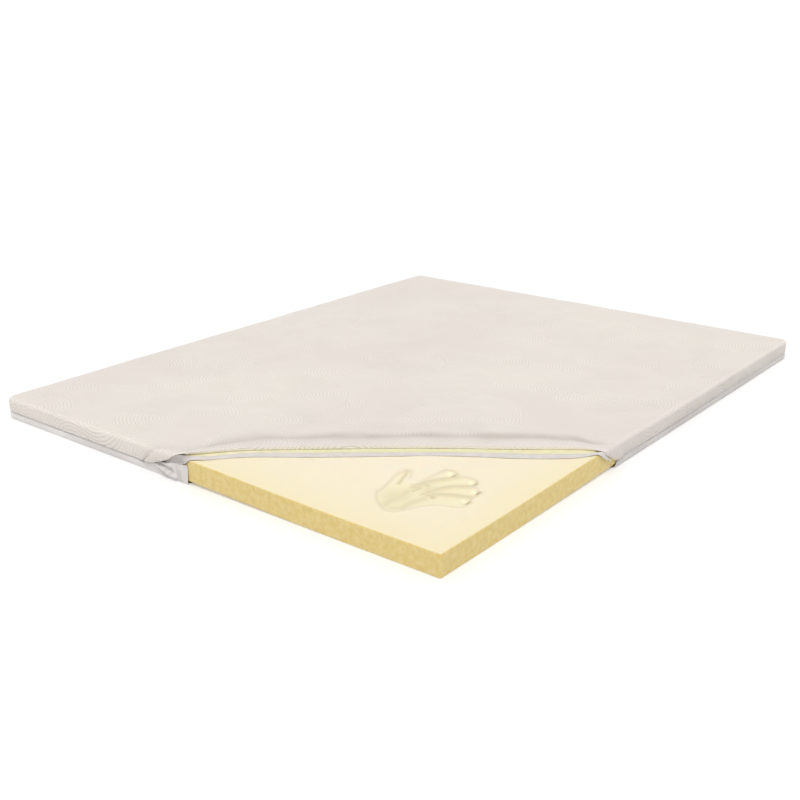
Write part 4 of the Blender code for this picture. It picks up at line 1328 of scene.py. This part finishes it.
        # painted light under the roll, paler than its shade would be
        under = 1.0 - smooth((w + 0.0005) / 0.0035)
        piece = new_mesh("upper_cover", points, faces, flat=place, shade=self.shade(flat), side=side, under=under)
        face_outwards(piece, Vector((0.0, 0.0, 0.02)))
        area = flat_area(flat, faces)
        thicken(piece, self.cloth)
        dress(piece, self.wardrobe[Finish.QUILTED], Slot.QUILTED, "cover_top")
        seam = self.seam(self.wardrobe[Finish.THREAD])
        dress(seam, self.wardrobe[Finish.THREAD], Slot.QUILTED)
        size = (2 * pattern.half[1], 2 * pattern.half[0])
        LOG.info("upper cover: cut %.3f by %.3f m, %.3f square metres modelled", *size, area)


def flat_area(flat: Array, faces: Sequence[Sequence[int]]) -> float:
    """Area of a flat pattern's faces."""
    quads = flat[np.array(faces)]
    a, b = quads[:, 2] - quads[:, 0], quads[:, 3] - quads[:, 1]
    return float(np.abs(a[:, 0] * b[:, 1] - a[:, 1] * b[:, 0]).sum() / 2)


def around_hem(half: Array, inset: float, step: float = 0.003) -> Array:
    """Evenly spaced flat points along a hem, from one end of the opened corner round to the other.

    Args:
        half: Half the length and width of the rectangle that the line runs on.
        inset: How far inside the fold it starts and ends.
        step: Distance between the points.

    Returns:
        The points.
    """
    left_y = FOLD.line_y(np.array([-half[0]]))[0] + inset / FOLD.inward[1]
    front_x = FOLD.left[0] - (-half[1] - FOLD.left[1]) * FOLD.inward[1] / FOLD.inward[0] + inset / FOLD.inward[0]
    line = np.array([(-half[0], left_y), (-half[0], half[1]), (half[0], half[1]), (half[0], -half[1]),
                     (front_x, -half[1])])
    reach = np.concatenate([[0.0], np.cumsum(np.linalg.norm(np.diff(line, axis=0), axis=1))])
    at = np.linspace(0.0, reach[-1], round(reach[-1] / step) + 1)
    return np.column_stack([np.interp(at, reach, line[:, k]) for k in range(2)])


def on_surface(surface: Callable[[Array], Array], flat: Array, raised: float) -> tuple[Array, Array]:
    """Points raised above a laid surface.

    Args:
        surface: Lays flat points.
        flat: Flat points.
        raised: Distance outside the surface.

    Returns:
        The points and the way outward at each.
    """
    step = 0.0004
    here = surface(flat)
    along_x = surface(flat + np.array([step, 0.0])) - here
    along_y = surface(flat + np.array([0.0, step])) - here
    outward = np.cross(along_x, along_y)
    outward /= np.maximum(np.linalg.norm(outward, axis=1), 1e-15)[:, None]
    return here + outward * raised, outward


@dataclass
class LowerCover:
    """The plain base cloth with its low border, turned in along the fold below the slab."""

    slab: Slab
    wardrobe: Wardrobe
    cloth: float = 0.0018
    edge: float = 0.004
    out: float = 0.0046
    hem: float = 0.0193
    turn: float = 0.0027
    lip: float = 0.034
    stitch_in: float = 0.0032
    front: Places = (
        (-0.034, -0.042), (-0.007, -0.029), (0.050, -0.012), (1.050, 0.046), (1.099, 0.047), (1.120, 0.044),
    )
    pulled: Places = (
        (-0.020, 0.0545), (0.030, 0.0500), (0.065, 0.0450), (0.090, 0.0410), (0.125, 0.0360), (0.150, 0.0280),
        (0.175, 0.0193),
    )
    # folds of the gathered end on the left wall: start, end, width and height, in Y and Z
    folds: tuple[tuple[tuple[float, float], tuple[float, float], float, float], ...] = (
        ((0.126, 0.0300), (0.034, 0.0045), 0.0044, 0.0062), ((0.108, 0.0345), (0.052, 0.0215), 0.0040, -0.0022),
        ((0.021, 0.0120), (0.024, 0.0380), 0.0046, 0.0040), ((0.092, 0.0370), (0.060, 0.0370), 0.0036, 0.0034),
        ((0.034, 0.0060), (0.040, 0.0400), 0.0036, -0.0020),
        ((0.098, 0.0090), (0.056, 0.0035), 0.0040, 0.0030), ((0.060, 0.0150), (0.062, 0.0290), 0.0038, -0.0022),
        ((0.078, 0.0270), (0.072, 0.0140), 0.0034, 0.0026),
    )

    @property
    def level(self) -> float:
        """Ring at which the cloth starts to bend up from the floor."""
        return self.slab.plan_soft + self.out - self.edge

    @property
    def hem_ring(self) -> float:
        """Ring at which the cloth ends."""
        return self.level + self.edge * math.pi / 2 + self.hem - self.edge

    def pattern(self) -> Pattern:
        """The flat pattern's grid."""
        ring = self.hem_ring
        half = self.slab.half + ring
        arc = self.turn * math.pi / 2
        turned = np.concatenate([np.linspace(-self.lip, -arc, 5)[:-1], np.linspace(-arc, 0.0, 5)[:-1]])
        across = graded((0.0, 0.0009), (arc, 0.0012), (0.02, 0.0028), (0.11, 0.0030), (0.15, 0.010), (0.20, 0.020))
        hem = np.concatenate([graded((0.0, 0.0010), (0.006, 0.0010), (ring, 0.0035)),
                              graded((ring, 0.004), (ring + 0.1, 0.02))[1:]])
        hem = np.interp(np.linspace(0.0, len(hem) - 1.0, len(across)), np.arange(len(hem)), hem)
        side = graded((0.0, 0.0011), (0.006, 0.0011), (ring, 0.0024))
        end = FOLD.left[0] + (self.slab.width / 2 + FOLD.left[1]) * FOLD.inward[1] / FOLD.inward[0]
        columns = np.concatenate([
            -half[0] + side[:-1],
            graded((-self.slab.half[0], 0.004), (-0.90, 0.018), (end - 0.10, 0.018), (end - 0.02, 0.004),
                   (end + 0.10, 0.005), (end + 0.2, 0.022), (self.slab.half[0] - 0.08, 0.022),
                   (self.slab.half[0], 0.004)),
            half[0] - side[::-1][1:],
        ])
        trim = self.slab.half + self.slab.plan_soft - 0.05
        return Pattern(tuple(half), (*turned, *across), (*[0.0] * len(turned), *hem), tuple(side),
                       tuple(columns), 60, tuple(trim))

    def surface(self, flat: Array) -> Array:
        """Lays the cloth, from its flat pattern."""
        slab = self.slab
        t, w = FOLD.place(flat)
        turn = np.clip(w / self.turn, -math.pi / 2, math.pi / 2)
        inward = self.turn * (1.0 - np.cos(turn)) + np.maximum(np.abs(w) - self.turn * math.pi / 2, 0.0)
        depth = self.turn * (1.0 - np.sin(turn))
        near = 1.0 - smooth(w / FOLD.bow_reach)
        _, ring, _ = slab.split(flat)
        to_hem = self.hem_ring - ring
        moved = slab.slide(flat, (inward - w) * (w < 0.12) + along(self.front, t) * near)
        inner, ring, way = slab.split(moved)
        bend = np.clip((ring - self.level) / self.edge, 0.0, math.pi / 2)
        up = np.maximum(ring - self.level - self.edge * math.pi / 2, 0.0)
        side_place = np.where(np.abs(flat[:, 0]) - slab.half[0] > np.abs(flat[:, 1]) - slab.half[1],
                              flat[:, 1], flat[:, 0] + 3.0)
        pucker = Swell(0.035, 61).on_line(side_place) * 0.0005 + Swell(0.12, 62).on_line(side_place) * 0.0005
        swell = 0.0006 * np.sin(np.clip((to_hem - self.stitch_in) / 0.012, 0.0, 1.0) * math.pi)
        valley = 0.0005 * np.exp(-(((to_hem - self.stitch_in) / 0.0009) ** 2))
        proud = (pucker * smooth(to_hem / 0.003) + swell - valley) * smooth(up / 0.003)
        reach = np.minimum(ring, self.level) + np.sin(bend) * (self.edge - depth) + proud
        pulled = (along(self.pulled, moved[:, 1]) - self.edge) / (self.hem - self.edge)
        up = up * np.where(moved[:, 0] < -slab.half[0], pulled, 1.0)
        height = self.edge - np.cos(bend) * (self.edge - depth) + up
        reach = reach + self.gathers(moved, height) * smooth(up / 0.002)
        return np.column_stack([inner + way * reach[:, None], height])

    def gathers(self, moved: Array, height: Array) -> Array:
        """How far the folds of the gathered end stand out of the left wall."""
        place, total = np.column_stack([moved[:, 1], height]), np.zeros(len(moved))
        for start, end, width, rise in self.folds:
            away = Hand.to_line(place, np.array([start, end]))
            total += 1.25 * rise * np.exp(-((away / width) ** 2))
        return total * (moved[:, 0] < -self.slab.half[0]) * smooth((moved[:, 1] - 0.006) / 0.010)

    def shade(self, points: Array) -> Array:
        """How far the cloth lies in the shade: the front border, and the grooves of the gathered end."""
        place = points[:, 1:]
        shaded = 0.32 * smooth((-self.slab.half[1] - points[:, 1]) / 0.003)
        for start, end, width, rise in self.folds:
            below = np.array([start, end]) - np.array([0.0, 1.2 * width * (rise > 0.0)])
            groove = np.exp(-((Hand.to_line(place, below) / (0.8 * width)) ** 2))
            shaded = np.maximum(shaded, 0.50 * groove * (points[:, 0] < -self.slab.half[0]))
        return shaded

    def seam(self, thread: bpy.types.Material) -> bpy.types.Object:
        """The row of stitches below the hem."""
        flat = around_hem(self.slab.half + self.hem_ring - self.stitch_in, inset=0.010)
        points, outward = on_surface(self.surface, flat, -0.0003)
        row = Row("lower_seam", 0.0043, (0.0034, 0.0008, 0.0006))
        return row.build(points, -outward, Unit.STITCH.build(), thread)

    def build(self) -> None:
        """Builds and dresses the cloth and its seam."""
        pattern = self.pattern()
        flat, faces = pattern.build()
        points = self.surface(flat)
        piece = new_mesh("lower_cover", points, faces, flat=np.column_stack([flat, np.zeros(len(flat))]),
                         shade=self.shade(points))
        face_outwards(piece, Vector((0.0, 0.0, 0.03)))
        area = flat_area(flat, faces)
        thicken(piece, self.cloth)
        dress(piece, self.wardrobe[Finish.PLAIN], Slot.PLAIN, "cover_base")
        seam = self.seam(self.wardrobe[Finish.THREAD])
        dress(seam, self.wardrobe[Finish.THREAD], Slot.PLAIN)
        size = (2 * pattern.half[1], 2 * pattern.half[0])
        LOG.info("lower cover: cut %.3f by %.3f m, %.3f square metres modelled", *size, area)


# ------------------------------------------------------------------ the zip
@dataclass
class ClosedZip:
    """The closed zip around the side: its tape in the groove, and its two rows of teeth."""

    slab: Slab
    wardrobe: Wardrobe
    clear: float = 0.0005
    thick: float = 0.0011
    low: float = 0.0130
    high: float = 0.0290
    middle: float = 0.02175
    left_end: float = 0.176
    front_end: float = -0.219
    teeth_out: float = 0.0024

    def places(self) -> Array:
        """Lengths along the side from one closed point round to the other."""
        slab = self.slab
        arc = slab.plan_soft * math.pi / 2
        length, width = 2 * slab.half
        start = -arc - (width / 2 - self.left_end)
        end = length + arc + width + arc + (length / 2 - self.front_end)
        stops = [start]
        for corner in (-arc, length, length + arc + width):
            stops += [corner, corner + arc]
        stops.append(end)
        runs = [np.linspace(a, b, max(3, round((b - a) / 0.012)) if b - a > 2 * arc else 15)[:-1]
                for a, b in zip(stops[:-1], stops[1:])]
        return np.concatenate(runs + [[end]])

    def build(self) -> None:
        """Builds and dresses the tape and the teeth."""
        places = self.places()
        heights = np.array([self.low, self.low + 0.0035, self.middle - 0.0030, self.middle - 0.0024, self.middle,
                            self.middle + 0.0024, self.middle + 0.0030, self.high - 0.0035, self.high])
        bead = np.array([0.0, 0.0, 0.0011, 0.0016, 0.0016, 0.0016, 0.0011, 0.0, 0.0])
        s = np.repeat(places, len(heights))
        z = np.tile(heights, len(places))
        out = self.clear + self.thick + np.tile(bead, len(places))
        plan, _ = self.slab.round_side(np.mod(s, self.slab.girth), out)
        points = np.column_stack([plan, z])
        flat = np.column_stack([s, z, np.zeros(len(s))])
        piece = new_mesh("closed_tape", points, grid_faces(len(places), len(heights)), flat=flat)
        face_outwards(piece, Vector((0.0, 0.0, 0.02)))
        thicken(piece, self.thick)
        dress(piece, self.wardrobe[Finish.TAPE], Slot.ZIP, "zip_closed")
        out = np.full(len(places), self.clear + self.thick + self.teeth_out)
        plan, outward = self.slab.round_side(np.mod(places, self.slab.girth), out)
        path = np.column_stack([plan, np.full(len(places), self.middle)])
        outward = np.column_stack([outward, np.zeros(len(outward))])
        row = Row("closed_teeth", 0.0026, (0.0040, 0.0014, 0.0014), skew=math.pi / 2 - 0.16)
        teeth = row.build(path, outward, Unit.TOOTH.build(6), self.wardrobe[Finish.TEETH])
        dress(teeth, self.wardrobe[Finish.TEETH], Slot.ZIP)
        size = (self.high - self.low, float(places[-1] - places[0]))
        LOG.info("closed tape: %.3f by %.3f m", *size)


@dataclass
class OpenTape:
    """The opened half of the zip, which lies across the bared foam with its teeth towards the corner."""

    slab: Slab
    wardrobe: Wardrobe
    clear: float = 0.0005
    thick: float = 0.0012
    edge_clearance: float = 0.0020
    cut: tuple[float, float] = (0.030, 1.22)
    run: tuple[tuple[float, float, float], ...] = TAPE_RUN

    def surface(self, flat: Array) -> Array:
        """Lays points given by their place along the tape and their share across it, from -1 to 1."""
        places = np.linspace(self.run[0][0], self.run[-1][0], 1200)
        middle = FOLD.start + places[:, None] * FOLD.ahead + along(self.run, places)[:, None] * FOLD.inward
        ahead = np.gradient(middle, axis=0)
        ahead /= np.linalg.norm(ahead, axis=1)[:, None]
        across = np.stack([-ahead[:, 1], ahead[:, 0]], axis=1)
        centre = np.column_stack([np.interp(flat[:, 0], places, middle[:, k]) for k in range(2)])
        aside = np.column_stack([np.interp(flat[:, 0], places, across[:, k]) for k in range(2)])
        on_core = centre + aside * (flat[:, 1] * along(self.run, flat[:, 0], column=2))[:, None]
        edge = self.slab.edge_crisp + 0.001
        level = self.slab.plan_soft - edge
        bend = (edge + self.thick) * math.pi / 2
        to_side = np.min(on_core + self.slab.half + level, axis=1)
        over_edge = smooth(np.clip(1.0 - np.abs(to_side + bend / 2) / 0.03, 0.0, 1.0))
        waves = 0.5 + 0.5 * Swell(0.09, 71).on_line(flat[:, 0] + 0.02 * flat[:, 1])
        from_end = np.minimum(flat[:, 0], FOLD.length - flat[:, 0])
        rise = self.clear + self.thick + self.edge_clearance * over_edge
        rise = rise + 0.0009 * np.clip(waves, 0.0, 1.2) * smooth(from_end / 0.08) * (0.5 + 0.5 * flat[:, 1])
        return self.slab.lay(on_core, rise, edge, self.thick)

    def build(self) -> None:
        """Builds and dresses the tape and its teeth."""
        first, last = self.run[0][0], self.run[-1][0]
        places = graded((first, 0.003), (0.10, 0.003), (0.2, 0.006), (0.95, 0.006), (1.02, 0.003), (last, 0.003))
        shares = np.linspace(-1.0, 1.0, 9)
        flat = np.column_stack([np.repeat(places, len(shares)), np.tile(shares, len(places))])
        points = self.surface(flat)
        width = along(self.run, flat[:, 0], column=2)
        drawn = np.column_stack([flat[:, 0], flat[:, 1] * width, np.zeros(len(flat))])
        faces = grid_faces(len(places), len(shares))
        # the shade attribute is painted shade at the tape's left end
        piece = new_mesh("open_tape", points, faces, flat=drawn, shade=1.0 - smooth((flat[:, 0] - 0.012) / 0.035))
        face_outwards(piece, Vector((0.0, 0.0, 0.02)))
        thicken(piece, self.thick)
        dress(piece, self.wardrobe[Finish.TAPE], Slot.ZIP, "zip_open_tape")
        path = graded((first + 0.02, 0.003), (last - 0.02, 0.003))
        edge = np.column_stack([path, np.full(len(path), -0.93)])
        centres, outward = on_surface(self.surface, edge, 0.0005)
        outward *= np.sign(outward[:, 2:3] + 1e-9)
        row = Row("open_teeth", 0.0026, (0.0028, 0.00130, 0.0012), skew=math.pi / 2)
        teeth = row.build(centres, outward, Unit.TOOTH.build(6), self.wardrobe[Finish.TEETH])
        dress(teeth, self.wardrobe[Finish.TEETH], Slot.ZIP)
        area = flat_area(drawn[:, :2], faces)
        LOG.info("open tape: %.3f by %.3f m, %.4f square metres", *self.cut, area)


# ------------------------------------------------------------------ the studio
@dataclass(frozen=True)
class Lamp:
    """A soft far light: its strength, tilt from upright, heading it comes from and apparent size in degrees."""

    name: str
    power: float
    tilt: float
    heading: float
    size: float

    def hang(self) -> None:
        """Adds the light to the scene."""
        data = bpy.data.lights.new(self.name, "SUN")
        data.energy, data.angle = self.power, math.radians(self.size)
        lamp = bpy.data.objects.new(self.name, data)
        tilt, turn = math.radians(self.tilt), math.radians(self.heading)
        way = Vector((math.sin(tilt) * math.cos(turn), math.sin(tilt) * math.sin(turn), math.cos(tilt)))
        lamp.rotation_euler = (-way).to_track_quat("-Z", "Y").to_euler()
        bpy.context.scene.collection.objects.link(lamp)


@dataclass
class Studio:
    """Floor, lights and camera."""

    camera_place: tuple[float, float, float] = (-2.666, -2.024, 1.140)
    azimuth: float = 38.66
    down: float = 19.60
    roll: float = -0.20
    lens: float = 49.33
    floor_flat: float = 12.0
    floor_reach: float = 70.0
    floor_rise: float = 0.0011
    floor_colour: Colour = (0.72, 0.72, 0.72)
    floor_glow: float = 0.25
    sky: float = 0.40
    lamps: tuple[Lamp, ...] = (Lamp("key", 1.25, 25.0, 212.0, 14.0), Lamp("dome", 1.05, 0.0, 0.0, 125.0))

    def floor(self) -> None:
        """A round pale floor, flat below the topper, whose far rim rises gently."""
        rings = [0.0, self.floor_flat / 2] + list(np.linspace(self.floor_flat, self.floor_reach, 30))
        sides = 96
        points, faces = [], []
        for radius in rings:
            height = self.floor_rise * max(radius - self.floor_flat, 0.0) ** 2 - 0.0005
            for k in range(sides):
                angle = math.tau * k / sides
                points.append((radius * math.cos(angle), radius * math.sin(angle), height))
        for ring in range(len(rings) - 1):
            for k in range(sides):
                a, b = ring * sides + k, ring * sides + (k + 1) % sides
                faces.append((a, a + sides, b + sides) if ring == 0 else (a, a + sides, b + sides, b))
        floor = new_mesh("floor", np.array(points), faces)
        floor.data.materials.append(Sheet("pale_floor").finish(
            self.floor_colour, 0.9, None, Emission_Color=(1.0, 1.0, 1.0, 1.0), Emission_Strength=self.floor_glow))

    def lights(self) -> None:
        """An even surround, plain white itself though it lights the topper more softly, and the lamps."""
        world = bpy.data.worlds.new("studio")
        world.use_nodes = True
        tree = world.node_tree
        surround = tree.nodes["Background"]
        surround.inputs["Color"].default_value = (1.0, 1.0, 1.0, 1.0)
        seen, share = tree.nodes.new("ShaderNodeLightPath"), tree.nodes.new("ShaderNodeMath")
        share.operation = "MULTIPLY_ADD"
        share.inputs[1].default_value, share.inputs[2].default_value = 1.0 - self.sky, self.sky
        tree.links.new(seen.outputs["Is Camera Ray"], share.inputs[0])
        tree.links.new(share.outputs[0], surround.inputs["Strength"])
        bpy.context.scene.world = world
        for lamp in self.lamps:
            lamp.hang()

    def camera(self) -> None:
        """The camera."""
        data = bpy.data.cameras.new("camera")
        data.lens, data.sensor_width = self.lens, 36.0
        data.clip_start, data.clip_end = 0.05, 300.0
        camera = bpy.data.objects.new("camera", data)
        turn = Matrix.Rotation(math.radians(self.azimuth - 90.0), 4, "Z")
        tilt = Matrix.Rotation(math.radians(90.0 - self.down), 4, "X")
        lean = Matrix.Rotation(math.radians(self.roll), 4, "Z")
        camera.matrix_world = Matrix.Translation(self.camera_place) @ turn @ tilt @ lean
        bpy.context.scene.collection.objects.link(camera)
        bpy.context.scene.camera = camera

    def build(self) -> None:
        """Builds the studio."""
        self.floor()
        self.lights()
        self.camera()


def main() -> None:
    """Builds the studio and the topper."""
    logging.basicConfig(level=logging.INFO, format="%(name)s: %(message)s")
    bpy.context.scene.view_settings.view_transform = "Standard"
    Studio().build()
    low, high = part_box("foam_core")
    slab = Slab(length=high.x - low.x, width=high.y - low.y)
    wardrobe = Wardrobe()
    for part in (FoamSlab, UpperCover, LowerCover, ClosedZip, OpenTape):
        part(slab, wardrobe).build()
    for unit in [o for o in bpy.data.objects if o.name.startswith("unit_")]:
        bpy.data.objects.remove(unit, do_unlink=True)


if __name__ == "__main__":
    main()
